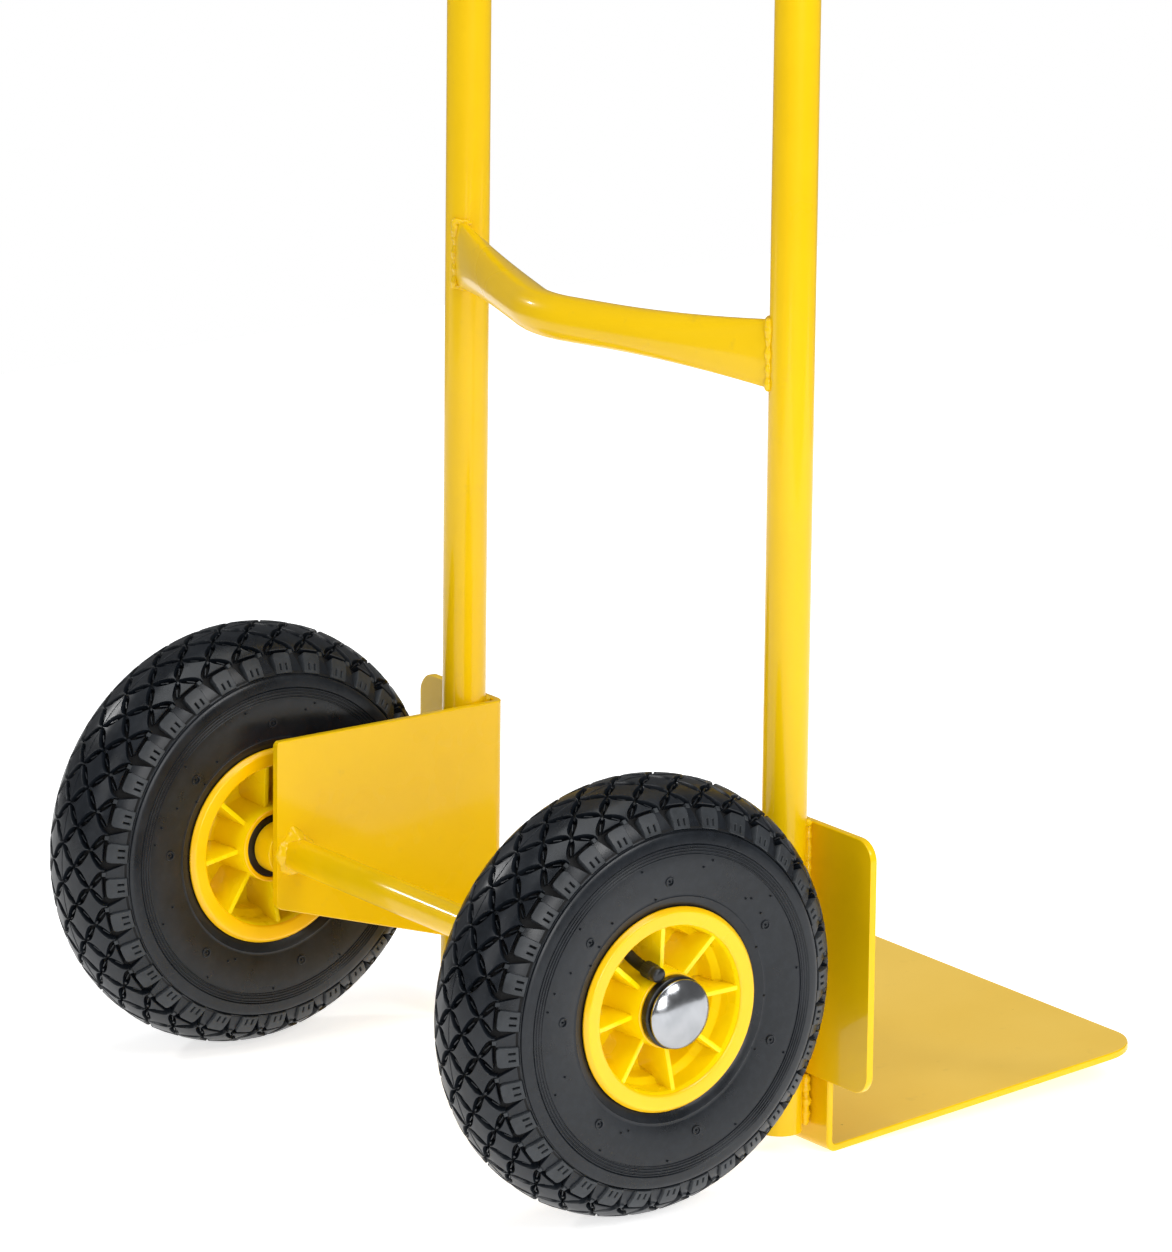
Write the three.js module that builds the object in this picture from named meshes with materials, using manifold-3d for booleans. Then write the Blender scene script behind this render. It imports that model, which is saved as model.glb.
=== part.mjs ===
// Hand truck with two pneumatic wheels, in millimetres, +Z up.
// The load side and the toe plate face -Y, the handles point to +Y, x = 0 is the middle.
// "Left" is +X, the left hand of a person who holds the handles and looks at the load.

import * as THREE from 'three';
import Module from 'manifold-3d';
import { mergeVertices } from 'three/addons/utils/BufferGeometryUtils.js';

const wasm = await Module();
wasm.setup();

// Driving dimensions
const GAP = 0.3;
const SHEET = 4.5;
const BEND_OUT = 7.0;

const TUBE_R = 13.3;
const TUBE_WALL = 1.8;
const RAIL_X = 160.4;
const RAIL_Y = -3.7;
const RAIL_BOTTOM = 12.0;
const RAIL_STRAIGHT_TOP = 985.0;
const RAIL_BEND_R = 85.0;
const RAIL_BEND_DEG = 62.0;
const HANDLE_LENGTH = 136.0;

const AXLE_Y = 134.0;
const AXLE_Z = 130.0;
const AXLE_R = 10.0;
const WHEEL_X = 199.2;

const BRACKET_REAR = 146.75;
const BRACKET_TOP = 201.3;
const BRACKET_REAR_BOTTOM = 97.0;
const GUARD_BOTTOM = 46.6;
const GUARD_OUT_X = 225.4;
const GUARD_CORNER_R = 12.0;

const TOE_HALF_WIDTH = 182.9;
const TOE_FRONT = -264.0;
const TOE_RISE_DEG = 4.92;
const TOE_CORNER_R = 25.0;
const FLANGE_TOP = 78.0;

const CROSSBAR_HEIGHTS = { lower: 481.5, upper: 842.0 };
const CROSSBAR_END_X = 154.5;
const CROSSBAR_END_Y = 5.4;
const CROSSBAR_APEX_Y = 58.0;
const CROSSBAR_BEND_R = 60.0;
const CROSSBAR_FLAT_H = 20.6;
const CROSSBAR_FLAT_T = 3.7;
const CROSSBAR_FLAT_RUN = 92.0;

const TYRE_R = 130.0;
const TYRE_HALF_WIDTH = 38.2;
const TYRE_WIDEST_R = 92.0;
const TYRE_ROUNDNESS = 2.18;
const BEAD_SEAT_R = 53.3;
const FLANGE_R = 61.3;
const RIM_FACE = 37.6;
const HUB_FACE = 36.5;
const HUB_R = 22.6;
const HUB_BORE_R = 19.8;
const HUB_MID_BORE_R = 17.0;
const BEARING_SEAT = 19.0;
const RIB_COUNT = 8;
const RIB_PHASE_DEG = 85.0;
const RIB_THICKNESS = 3.0;
const RIB_AT_BARREL = 34.5;
const RIB_AT_HUB = 29.5;

const VALVE_DEG = 62.5;
const VALVE_X = 12.0;
const STEM_R = 3.5;
const STEM_ROOT_R = 58.5;
const STEM_BEND_START_R = 48.2;
const STEM_BEND_R = 19.0;
const STEM_BEND_DEG = 82.0;
const STEM_THREAD = 12.0;
const VALVE_CAP_R = 5.0;
const VALVE_CAP_LENGTH = 13.5;

const COLLAR_R = 15.5;
const SEAL_R = 19.5;

const GRIP_LENGTH = 130.0;
const GRIP_R = 16.8;
const GRIP_BORE_DEPTH = 124.0;
const KNUCKLE_REACH = 52.0;
const KNUCKLE_STRIP = 6.0;
const KNUCKLE_WIDTH = 22.0;

const RAIL_INNER_X = RAIL_X - TUBE_R;
const PLATE_OUT_X = RAIL_INNER_X - GAP;
const PLATE_IN_X = PLATE_OUT_X - SHEET;
const GUARD_REAR_Y = RAIL_Y - TUBE_R - GAP;
const GUARD_FRONT_Y = GUARD_REAR_Y - SHEET;

// Colours and finishes
const FINISHES = {
  powder_coat: { color: 0xf2b705, metalness: 0.15, roughness: 0.35 },
  rim_plastic: { color: 0xffc400, metalness: 0.0, roughness: 0.4 },
  tyre_rubber: { color: 0x26282b, metalness: 0.0, roughness: 0.75 },
  black_rubber: { color: 0x141414, metalness: 0.0, roughness: 0.7 },
  black_plastic: { color: 0x191919, metalness: 0.0, roughness: 0.5 },
  chrome: { color: 0xd8dadd, metalness: 1.0, roughness: 0.12 },
  bearing_steel: { color: 0x9a9da1, metalness: 0.9, roughness: 0.3 },
};

const rad = THREE.MathUtils.degToRad;

// Builds a closed surface from rings of equal length, then turns it outward.
function loft(rings, wrap) {
  const count = rings[0].length;
  const positions = [];
  rings.flat().forEach((point) => positions.push(point.x, point.y, point.z));
  const faces = [];
  const bands = wrap ? rings.length : rings.length - 1;
  for (let i = 0; i < bands; i += 1) {
    const next = (i + 1) % rings.length;
    for (let j = 0; j < count; j += 1) {
      const k = (j + 1) % count;
      faces.push([i * count + j, i * count + k, next * count + k]);
      faces.push([i * count + j, next * count + k, next * count + j]);
    }
  }
  if (!wrap) {
    const last = (rings.length - 1) * count;
    for (let j = 1; j < count - 1; j += 1) {
      faces.push([0, j + 1, j]);
      faces.push([last, last + j, last + j + 1]);
    }
  }
  return outward(positions, faces);
}

// Revolves a profile of [along, radius] points about the X axis.
// A profile that starts and ends at radius 0 is closed by the axis, any other by itself.
function revolve(profile, segments) {
  const positions = [];
  const rows = profile.map(([along, radius]) => {
    const row = [];
    const steps = radius === 0 ? 1 : segments;
    for (let j = 0; j < steps; j += 1) {
      const angle = (j / segments) * Math.PI * 2;
      row.push(positions.length / 3);
      positions.push(along, radius * Math.cos(angle), radius * Math.sin(angle));
    }
    return row;
  });
  const onAxis = rows[0].length === 1;
  const bands = onAxis ? rows.length - 1 : rows.length;
  const faces = [];
  for (let i = 0; i < bands; i += 1) {
    const a = rows[i];
    const b = rows[(i + 1) % rows.length];
    for (let j = 0; j < segments; j += 1) {
      const k = (j + 1) % segments;
      if (a.length > 1) {
        faces.push([a[j], a[k], b[b.length > 1 ? k : 0]]);
      }
      if (b.length > 1) {
        faces.push([a[a.length > 1 ? j : 0], b[k], b[j]]);
      }
    }
  }
  return outward(positions, faces);
}

// Turns every face of a closed surface outward.
function outward(positions, faces) {
  const corner = (index) => new THREE.Vector3().fromArray(positions, index * 3);
  let volume = 0;
  faces.forEach(([a, b, c]) => {
    volume += corner(a).dot(corner(b).cross(corner(c)));
  });
  const ordered = volume < 0 ? faces.map(([a, b, c]) => [a, c, b]) : faces;
  const geometry = new THREE.BufferGeometry();
  geometry.setAttribute('position', new THREE.Float32BufferAttribute(positions, 3));
  geometry.setIndex(ordered.flat());
  return geometry;
}

function toSolid(geometry) {
  const source = geometry.index ? geometry.toNonIndexed() : geometry;
  const bare = new THREE.BufferGeometry();
  bare.setAttribute('position', source.getAttribute('position').clone());
  const merged = mergeVertices(bare, 1e-4);
  const mesh = new wasm.Mesh({
    numProp: 3,
    vertProperties: Float32Array.from(merged.getAttribute('position').array),
    triVerts: Uint32Array.from(merged.index.array),
  });
  return new wasm.Manifold(mesh);
}

function fromSolid(solid) {
  const mesh = solid.getMesh();
  const geometry = new THREE.BufferGeometry();
  geometry.setAttribute('position', new THREE.Float32BufferAttribute(mesh.vertProperties, 3));
  geometry.setIndex(Array.from(mesh.triVerts));
  return geometry;
}

function combine(base, operation, tools) {
  let result = toSolid(base);
  tools.forEach((tool) => {
    result = result[operation](toSolid(tool));
  });
  return fromSolid(result);
}

// Reflects a geometry in the plane x = 0 and keeps it facing outward.
function mirrored(geometry) {
  const copy = geometry.index ? geometry.clone() : mergeVertices(geometry, 1e-4);
  const positions = Array.from(copy.getAttribute('position').array);
  for (let i = 0; i < positions.length; i += 3) {
    positions[i] *= -1;
  }
  const index = Array.from(copy.index.array);
  const faces = [];
  for (let i = 0; i < index.length; i += 3) {
    faces.push([index[i], index[i + 1], index[i + 2]]);
  }
  return outward(positions, faces);
}

// Extrudes an outline drawn in the (Y, Z) plane from x = from to x = to.
function extrudeAlongX(shape, from, to) {
  const geometry = new THREE.ExtrudeGeometry(shape, {
    depth: to - from,
    bevelEnabled: false,
    curveSegments: 5,
  });
  geometry.applyMatrix4(
    new THREE.Matrix4().makeBasis(
      new THREE.Vector3(0, 1, 0),
      new THREE.Vector3(0, 0, 1),
      new THREE.Vector3(1, 0, 0),
    ),
  );
  geometry.translate(from, 0, 0);
  return geometry;
}

// Extrudes an outline drawn in the (X, Z) plane from y = front to y = rear.
function extrudeAlongY(shape, front, rear) {
  const geometry = new THREE.ExtrudeGeometry(shape, {
    depth: rear - front,
    bevelEnabled: false,
    curveSegments: 5,
  });
  geometry.applyMatrix4(
    new THREE.Matrix4().makeBasis(
      new THREE.Vector3(1, 0, 0),
      new THREE.Vector3(0, 0, 1),
      new THREE.Vector3(0, -1, 0),
    ),
  );
  geometry.translate(0, rear, 0);
  return geometry;
}

// Extrudes an outline drawn in the (X, Y) plane from z = bottom to z = top.
function extrudeAlongZ(shape, bottom, top) {
  const geometry = new THREE.ExtrudeGeometry(shape, {
    depth: top - bottom,
    bevelEnabled: false,
    curveSegments: 5,
  });
  geometry.translate(0, 0, bottom);
  return geometry;
}

// A polygon with every corner given as [x, y, corner radius].
function roundedPolygon(corners) {
  const shape = new THREE.Shape();
  corners.forEach(([x, y, radius], i) => {
    const before = corners[(i + corners.length - 1) % corners.length];
    const after = corners[(i + 1) % corners.length];
    const here = new THREE.Vector2(x, y);
    const toBefore = new THREE.Vector2(before[0], before[1]).sub(here).normalize();
    const toAfter = new THREE.Vector2(after[0], after[1]).sub(here).normalize();
    const half = Math.acos(THREE.MathUtils.clamp(toBefore.dot(toAfter), -1, 1)) / 2;
    const setback = radius > 0 ? radius / Math.tan(half) : 0;
    const enter = here.clone().addScaledVector(toBefore, setback);
    const leave = here.clone().addScaledVector(toAfter, setback);
    if (i === 0) {
      shape.moveTo(enter.x, enter.y);
    } else {
      shape.lineTo(enter.x, enter.y);
    }
    if (radius > 0) {
      const middle = toBefore.clone().add(toAfter).normalize();
      const centre = here.clone().addScaledVector(middle, radius / Math.sin(half));
      const start = Math.atan2(enter.y - centre.y, enter.x - centre.x);
      const end = Math.atan2(leave.y - centre.y, leave.x - centre.x);
      const turn = toBefore.cross(toAfter) > 0;
      shape.absarc(centre.x, centre.y, radius, start, end, turn);
    }
  });
  shape.closePath();
  return shape;
}

// A round bar or bore along X.
function barAlongX(radius, from, to, segments) {
  return revolve([[from, 0], [from, radius], [to, radius], [to, 0]], segments);
}

// A flat ring along X.
function ringAlongX(inner, outer, from, to, segments) {
  return revolve([[from, inner], [from, outer], [to, outer], [to, inner]], segments);
}

// Rail: a straight tube that bends back into the handle at the top.
const handleTurn = rad(RAIL_BEND_DEG);
const handleDirection = new THREE.Vector3(0, Math.sin(handleTurn), Math.cos(handleTurn));
const handleStart = new THREE.Vector3(
  RAIL_X,
  RAIL_Y + RAIL_BEND_R * (1 - Math.cos(handleTurn)),
  RAIL_STRAIGHT_TOP + RAIL_BEND_R * Math.sin(handleTurn),
);

function railGeometry() {
  const stations = [{ y: RAIL_Y, z: RAIL_BOTTOM, turn: 0 }];
  const steps = 6;
  for (let i = 0; i <= steps; i += 1) {
    const turn = (handleTurn * i) / steps;
    stations.push({
      y: RAIL_Y + RAIL_BEND_R * (1 - Math.cos(turn)),
      z: RAIL_STRAIGHT_TOP + RAIL_BEND_R * Math.sin(turn),
      turn,
    });
  }
  const end = handleStart.clone().addScaledVector(handleDirection, HANDLE_LENGTH);
  stations.push({ y: end.y, z: end.z, turn: handleTurn });
  const ringAt = (station, radius) => {
    const ring = [];
    for (let j = 0; j < 20; j += 1) {
      const angle = (j / 20) * Math.PI * 2;
      const across = radius * Math.sin(angle);
      ring.push(
        new THREE.Vector3(
          RAIL_X + radius * Math.cos(angle),
          station.y + across * Math.cos(station.turn),
          station.z - across * Math.sin(station.turn),
        ),
      );
    }
    return ring;
  };
  const outer = stations.map((station) => ringAt(station, TUBE_R));
  const inner = stations.map((station) => ringAt(station, TUBE_R - TUBE_WALL)).reverse();
  return loft([...outer, ...inner], true);
}

// Crossbar: a tube bowed to the rear in the middle, pressed flat and coped at both ends.
function crossbarGeometry(height) {
  const slope = (CROSSBAR_APEX_Y - CROSSBAR_END_Y) / CROSSBAR_END_X;
  const lean = Math.atan(slope);
  const tangent = CROSSBAR_BEND_R * Math.sin(lean);
  const centreY = CROSSBAR_APEX_Y - slope * tangent - CROSSBAR_BEND_R * Math.cos(lean);
  const stations = [];
  for (let i = 0; i <= 5; i += 1) {
    stations.push(CROSSBAR_END_X - (CROSSBAR_FLAT_RUN * i) / 5);
  }
  for (let i = 0; i <= 2; i += 1) {
    stations.push(tangent * (1 - i / 2));
  }
  const xs = [...stations, ...stations.slice(0, -1).reverse().map((x) => -x)];
  const ringAt = (x, wall) => {
    const side = Math.abs(x);
    const onBend = side <= tangent;
    const tilt = onBend ? Math.asin(side / CROSSBAR_BEND_R) : lean;
    const y = onBend
      ? centreY + CROSSBAR_BEND_R * Math.cos(tilt)
      : CROSSBAR_APEX_Y - slope * side;
    const ease = THREE.MathUtils.smoothstep(
      side,
      CROSSBAR_END_X - CROSSBAR_FLAT_RUN,
      CROSSBAR_END_X - 4,
    );
    const tall = THREE.MathUtils.lerp(TUBE_R, CROSSBAR_FLAT_H, ease) - wall;
    const thick = THREE.MathUtils.lerp(TUBE_R, CROSSBAR_FLAT_T, ease) - wall;
    const power = THREE.MathUtils.lerp(1, 0.5, ease);
    const ring = [];
    for (let j = 0; j < 16; j += 1) {
      const angle = (j / 16) * Math.PI * 2;
      const sine = Math.sin(angle);
      const across = thick * Math.sign(sine) * Math.abs(sine) ** power;
      ring.push(
        new THREE.Vector3(
          x + across * Math.sin(tilt) * Math.sign(x),
          y + across * Math.cos(tilt),
          height + tall * Math.cos(angle),
        ),
      );
    }
    return ring;
  };
  const outer = xs.map((x) => ringAt(x, 0));
  const inner = xs.map((x) => ringAt(x, TUBE_WALL)).reverse();
  const copes = [-1, 1].map((side) => {
    const cope = new THREE.CylinderGeometry(TUBE_R + GAP, TUBE_R + GAP, 60, 24);
    cope.rotateX(Math.PI / 2);
    cope.translate(side * RAIL_X, RAIL_Y, height);
    return cope;
  });
  return combine(loft([...outer, ...inner], true), 'subtract', copes);
}

// Side bracket: a plate that carries the axle and turns outward in front as the wheel guard.
function bracketGeometry() {
  const plan = roundedPolygon([
    [PLATE_IN_X, BRACKET_REAR, 0],
    [PLATE_IN_X, GUARD_FRONT_Y, BEND_OUT],
    [GUARD_OUT_X, GUARD_FRONT_Y, 0],
    [GUARD_OUT_X, GUARD_REAR_Y, 0],
    [PLATE_OUT_X, GUARD_REAR_Y, BEND_OUT - SHEET],
    [PLATE_OUT_X, BRACKET_REAR, 0],
  ]);
  const side = roundedPolygon([
    [GUARD_FRONT_Y - 20, GUARD_BOTTOM, 0],
    [GUARD_REAR_Y, GUARD_BOTTOM, 0],
    [BRACKET_REAR, BRACKET_REAR_BOTTOM, 5],
    [BRACKET_REAR, BRACKET_TOP, 1.5],
    [GUARD_FRONT_Y - 20, BRACKET_TOP, 0],
  ]);
  const front = roundedPolygon([
    [PLATE_IN_X - 20, GUARD_BOTTOM, 0],
    [GUARD_OUT_X, GUARD_BOTTOM, GUARD_CORNER_R],
    [GUARD_OUT_X, BRACKET_TOP, GUARD_CORNER_R],
    [PLATE_IN_X - 20, BRACKET_TOP, 0],
  ]);
  const sheet = extrudeAlongZ(plan, GUARD_BOTTOM - 10, BRACKET_TOP + 10);
  const cut = combine(sheet, 'intersect', [
    extrudeAlongX(side, PLATE_IN_X - 10, GUARD_OUT_X + 10),
    extrudeAlongY(front, GUARD_FRONT_Y - 10, BRACKET_REAR + 10),
  ]);
  const axleHole = barAlongX(AXLE_R + GAP, PLATE_IN_X - 5, PLATE_OUT_X + 5, 24);
  axleHole.translate(0, AXLE_Y, AXLE_Z);
  return combine(cut, 'subtract', [axleHole]);
}

// Toe plate: one folded sheet with a vertical flange behind and a blade that rises slightly.
function toePlateGeometry() {
  const rise = rad(TOE_RISE_DEG);
  const flangeRear = GUARD_FRONT_Y - GAP;
  const bend = new THREE.Vector2(flangeRear - BEND_OUT, BEND_OUT);
  const run = (bend.x - BEND_OUT * Math.sin(rise) - TOE_FRONT) / Math.cos(rise);
  const along = new THREE.Vector2(-Math.cos(rise), Math.sin(rise));
  const down = new THREE.Vector2(-Math.sin(rise), -Math.cos(rise));
  const bottomTip = bend.clone().addScaledVector(down, BEND_OUT).addScaledVector(along, run);
  const topTip = bottomTip.clone().addScaledVector(down, -SHEET);
  const profile = new THREE.Shape();
  profile.moveTo(flangeRear, FLANGE_TOP);
  profile.lineTo(flangeRear - SHEET, FLANGE_TOP);
  profile.lineTo(flangeRear - SHEET, bend.y);
  profile.absarc(bend.x, bend.y, BEND_OUT - SHEET, 0, -Math.PI / 2 - rise, true);
  profile.lineTo(topTip.x, topTip.y);
  profile.lineTo(bottomTip.x, bottomTip.y);
  profile.absarc(bend.x, bend.y, BEND_OUT, -Math.PI / 2 - rise, 0, false);
  profile.closePath();
  const plan = roundedPolygon([
    [-TOE_HALF_WIDTH, TOE_FRONT, TOE_CORNER_R],
    [TOE_HALF_WIDTH, TOE_FRONT, TOE_CORNER_R],
    [TOE_HALF_WIDTH, 0, 0],
    [-TOE_HALF_WIDTH, 0, 0],
  ]);
  const sheet = extrudeAlongX(profile, -TOE_HALF_WIDTH, TOE_HALF_WIDTH);
  return combine(sheet, 'intersect', [extrudeAlongZ(plan, -10, FLANGE_TOP + 10)]);
}

// Tyre outline for radii above the widest point, as [across, radius] from outboard to inboard.
function crown(halfWidth, height, steps) {
  const points = [];
  for (let i = 0; i <= steps; i += 1) {
    const angle = (Math.PI * i) / steps;
    const c = Math.cos(angle);
    const s = Math.sin(angle);
    points.push([
      halfWidth * Math.sign(c) * Math.abs(c) ** (2 / TYRE_ROUNDNESS),
      TYRE_WIDEST_R + height * Math.abs(s) ** (2 / TYRE_ROUNDNESS),
    ]);
  }
  return points;
}

// Tyre: an open casing with two bead feet on the rim.
function tyreGeometry() {
  const seat = BEAD_SEAT_R + GAP;
  const outerWall = [[30.6, seat], [30.9, 58.5], [33.8, 63.0], [37.3, 77]];
  const innerWall = [[31.0, 75], [24.8, 62], [22.6, seat]];
  const outer = [
    ...outerWall,
    ...crown(TYRE_HALF_WIDTH, TYRE_R - TYRE_WIDEST_R, 10),
    ...outerWall.slice().reverse().map(([x, r]) => [-x, r]),
  ];
  const inner = [
    ...innerWall.slice().reverse().map(([x, r]) => [-x, r]),
    ...crown(TYRE_HALF_WIDTH - 4.4, TYRE_R - TYRE_WIDEST_R - 9.5, 6).reverse(),
    ...innerWall,
  ];
  return revolve([...outer, ...inner], 32);
}

// Positions on a wheel in the plane of the valve.
function wheelPoint(along, radius) {
  const angle = rad(VALVE_DEG);
  return new THREE.Vector3(along, radius * Math.cos(angle), radius * Math.sin(angle));
}

function valveBore(radius, from, to) {
  const bore = new THREE.CylinderGeometry(radius, radius, to - from, 12);
  bore.translate(0, (from + to) / 2, 0);
  bore.rotateX(rad(VALVE_DEG));
  bore.translate(VALVE_X, 0, 0);
  return bore;
}

// Inner tube: a hollow ring of rubber with a hole for the valve.
function innerTubeGeometry() {
  const middle = 87.6;
  const section = (across, tall, steps) => {
    const points = [];
    for (let i = 0; i < steps; i += 1) {
      const angle = (i / steps) * Math.PI * 2;
      points.push([across * Math.cos(angle), middle + tall * Math.sin(angle)]);
    }
    return points;
  };
  const body = revolve(section(31.4, 31.2, 12), 24);
  const air = revolve(section(29.2, 29.0, 12), 24);
  return combine(body, 'subtract', [air, valveBore(STEM_R + GAP, 50, 66)]);
}

// Rim: flanged barrel with a drop centre, a web disc, a hub and triangular ribs on both sides.
function rimGeometry() {
  const barrelOutside = [
    [15.0, 48.3], [19.5, BEAD_SEAT_R], [31.1, BEAD_SEAT_R], [31.6, 58.2], [34.2, FLANGE_R],
    [36.6, 59.6], [RIM_FACE, 56.2], [36.6, 52.2], [33.0, 50.0], [20.5, 49.3], [16.5, 44.6],
  ];
  const hubSide = [
    [3.0, 43.8], [3.0, HUB_R + 1.2], [HUB_FACE, HUB_R], [HUB_FACE, HUB_BORE_R],
    [BEARING_SEAT, HUB_BORE_R], [BEARING_SEAT, HUB_MID_BORE_R],
  ];
  const half = [...barrelOutside, ...hubSide];
  const profile = [...half, ...half.slice().reverse().map(([x, r]) => [-x, r])];
  const ribs = [];
  for (let i = 0; i < RIB_COUNT; i += 1) {
    const outline = roundedPolygon([
      [-RIB_AT_HUB, HUB_R - 1.2, 0],
      [RIB_AT_HUB, HUB_R - 1.2, 0],
      [RIB_AT_BARREL, 50.4, 0],
      [20.0, 50.4, 0],
      [16.0, 46.0, 0],
      [-16.0, 46.0, 0],
      [-20.0, 50.4, 0],
      [-RIB_AT_BARREL, 50.4, 0],
    ]);
    const rib = new THREE.ExtrudeGeometry(outline, { depth: RIB_THICKNESS, bevelEnabled: false });
    rib.translate(0, 0, -RIB_THICKNESS / 2);
    rib.rotateX(rad(RIB_PHASE_DEG) + (i / RIB_COUNT) * Math.PI * 2);
    ribs.push(rib);
  }
  const ribbed = combine(revolve(profile, 32), 'add', ribs);
  return combine(ribbed, 'subtract', [valveBore(STEM_R + 1.0, 38, 60)]);
}

// Valve stem: leaves the inner tube inward and curves to the outboard side.
const stemTurn = rad(STEM_BEND_DEG);
const stemEnd = [
  VALVE_X + STEM_BEND_R * (1 - Math.cos(stemTurn)),
  STEM_BEND_START_R - STEM_BEND_R * Math.sin(stemTurn),
];

function valveStemGeometry() {
  const stations = [{ along: VALVE_X, radius: STEM_ROOT_R, turn: 0, r: STEM_R }];
  for (let i = 0; i <= 6; i += 1) {
    const turn = (stemTurn * i) / 6;
    stations.push({
      along: VALVE_X + STEM_BEND_R * (1 - Math.cos(turn)),
      radius: STEM_BEND_START_R - STEM_BEND_R * Math.sin(turn),
      turn,
      r: STEM_R,
    });
  }
  const straight = (distance, r) => ({
    along: stemEnd[0] + distance * Math.sin(stemTurn),
    radius: stemEnd[1] - distance * Math.cos(stemTurn),
    turn: stemTurn,
    r,
  });
  stations.push(straight(1.2, STEM_R));
  stations.push(straight(1.4, STEM_R - 0.3));
  stations.push(straight(STEM_THREAD, STEM_R - 0.3));
  const rings = stations.map((station) => {
    const ring = [];
    for (let j = 0; j < 12; j += 1) {
      const angle = (j / 12) * Math.PI * 2;
      const inPlane = station.r * Math.cos(angle);
      const point = wheelPoint(
        station.along + inPlane * Math.cos(station.turn),
        station.radius + inPlane * Math.sin(station.turn),
      );
      const aside = wheelPoint(0, 1).cross(new THREE.Vector3(1, 0, 0)).normalize();
      ring.push(point.addScaledVector(aside, station.r * Math.sin(angle)));
    }
    return ring;
  });
  return loft(rings, false);
}

// Valve cap: a moulded cup screwed over the end of the stem.
function valveCapGeometry() {
  const cap = revolve(
    [
      [VALVE_CAP_LENGTH, 0],
      [VALVE_CAP_LENGTH - 0.5, 3.0],
      [VALVE_CAP_LENGTH - 1.8, 4.2],
      [8.6, 4.4],
      [7.8, VALVE_CAP_R],
      [0.5, VALVE_CAP_R],
      [0, VALVE_CAP_R - 0.5],
      [0, STEM_R],
      [VALVE_CAP_LENGTH - 1.7, STEM_R],
      [VALVE_CAP_LENGTH - 1.7, 0],
    ],
    16,
  );
  cap.rotateZ(stemTurn - Math.PI / 2);
  cap.translate(
    stemEnd[0] + 1.7 * Math.sin(stemTurn),
    stemEnd[1] - 1.7 * Math.cos(stemTurn),
    0,
  );
  cap.rotateX(rad(VALVE_DEG));
  return cap;
}

// Axle cap: a domed push-on cap with an inner sleeve around the end of the axle.
function axleCapGeometry() {
  return revolve(
    [
      [51.5, 0], [51.0, 8.0], [49.6, 14.5], [46.8, 19.8], [45.3, 20.75], [44.4, 20.3],
      [44.4, 19.4], [46.2, 18.6], [48.4, 14.2], [48.9, 11.8], [44.9, 11.8],
      [44.9, AXLE_R + GAP], [49.4, AXLE_R + GAP], [50.2, 0],
    ],
    24,
  );
}

// Hand grip: a ribbed sleeve with a closed end and a knuckle guard on the outer side.
function gripGeometry() {
  const profile = [[0, 0], [0, 18.4], [5, 19.2], [9, 17.6]];
  for (let i = 0; i < 4; i += 1) {
    const start = 14 + i * 25;
    profile.push([start, GRIP_R - 0.6], [start + 12, GRIP_R + 0.8]);
  }
  profile.push([114, GRIP_R - 0.6], [122, 19.6], [128, 18.6]);
  profile.push([GRIP_LENGTH, 14.5], [GRIP_LENGTH, 0]);
  const sleeve = revolve(profile, 20);
  const outline = roundedPolygon([
    [1, 6, 0],
    [GRIP_LENGTH - 3, 6, 0],
    [GRIP_LENGTH - 3, KNUCKLE_REACH, 20],
    [1, KNUCKLE_REACH, 20],
  ]);
  const opening = roundedPolygon([
    [1 + KNUCKLE_STRIP, 0, 0],
    [GRIP_LENGTH - 3 - KNUCKLE_STRIP, 0, 0],
    [GRIP_LENGTH - 3 - KNUCKLE_STRIP, KNUCKLE_REACH - KNUCKLE_STRIP, 14],
    [1 + KNUCKLE_STRIP, KNUCKLE_REACH - KNUCKLE_STRIP, 14],
  ]);
  const plate = (shape, width) => {
    const geometry = new THREE.ExtrudeGeometry(shape, {
      depth: width,
      bevelEnabled: false,
      curveSegments: 5,
    });
    geometry.translate(0, 0, -width / 2);
    return geometry;
  };
  const loop = combine(plate(outline, KNUCKLE_WIDTH), 'subtract', [
    plate(opening, KNUCKLE_WIDTH + 10),
  ]);
  const grip = combine(sleeve, 'add', [loop]);
  return combine(grip, 'subtract', [barAlongX(TUBE_R + GAP, -5, GRIP_BORE_DEPTH, 20)]);
}

// Moves a grip from its own axis along X to the handle, knuckle guard to the outer side.
function placeGrip(geometry) {
  const start = handleStart.clone().addScaledVector(
    handleDirection,
    HANDLE_LENGTH - GRIP_BORE_DEPTH + 1,
  );
  const outerSide = new THREE.Vector3(1, 0, 0);
  const matrix = new THREE.Matrix4().makeBasis(
    handleDirection,
    outerSide,
    handleDirection.clone().cross(outerSide),
  );
  matrix.setPosition(start);
  geometry.applyMatrix4(matrix);
  return geometry;
}

const group = new THREE.Group();

function addNode(name, geometry, finish) {
  const material = new THREE.MeshStandardMaterial(FINISHES[finish]);
  material.name = `${finish}_${name}`;
  geometry.computeVertexNormals();
  const mesh = new THREE.Mesh(geometry, material);
  mesh.name = name;
  group.add(mesh);
}

// Adds a node on the left and its mirror image on the right.
function addPair(name, geometry, finish) {
  addNode(`${name}_left`, geometry, finish);
  addNode(`${name}_right`, mirrored(geometry), finish);
}

// Moves a piece drawn about the wheel centre to the left wheel.
function atWheel(geometry) {
  geometry.translate(WHEEL_X, AXLE_Y, AXLE_Z);
  return geometry;
}

// Welded frame
addPair('rail', railGeometry(), 'powder_coat');
Object.entries(CROSSBAR_HEIGHTS).forEach(([place, height]) => {
  addNode(`crossbar_${place}`, crossbarGeometry(height), 'powder_coat');
});
addPair('side_bracket', bracketGeometry(), 'powder_coat');
addNode('toe_plate', toePlateGeometry(), 'powder_coat');

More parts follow.
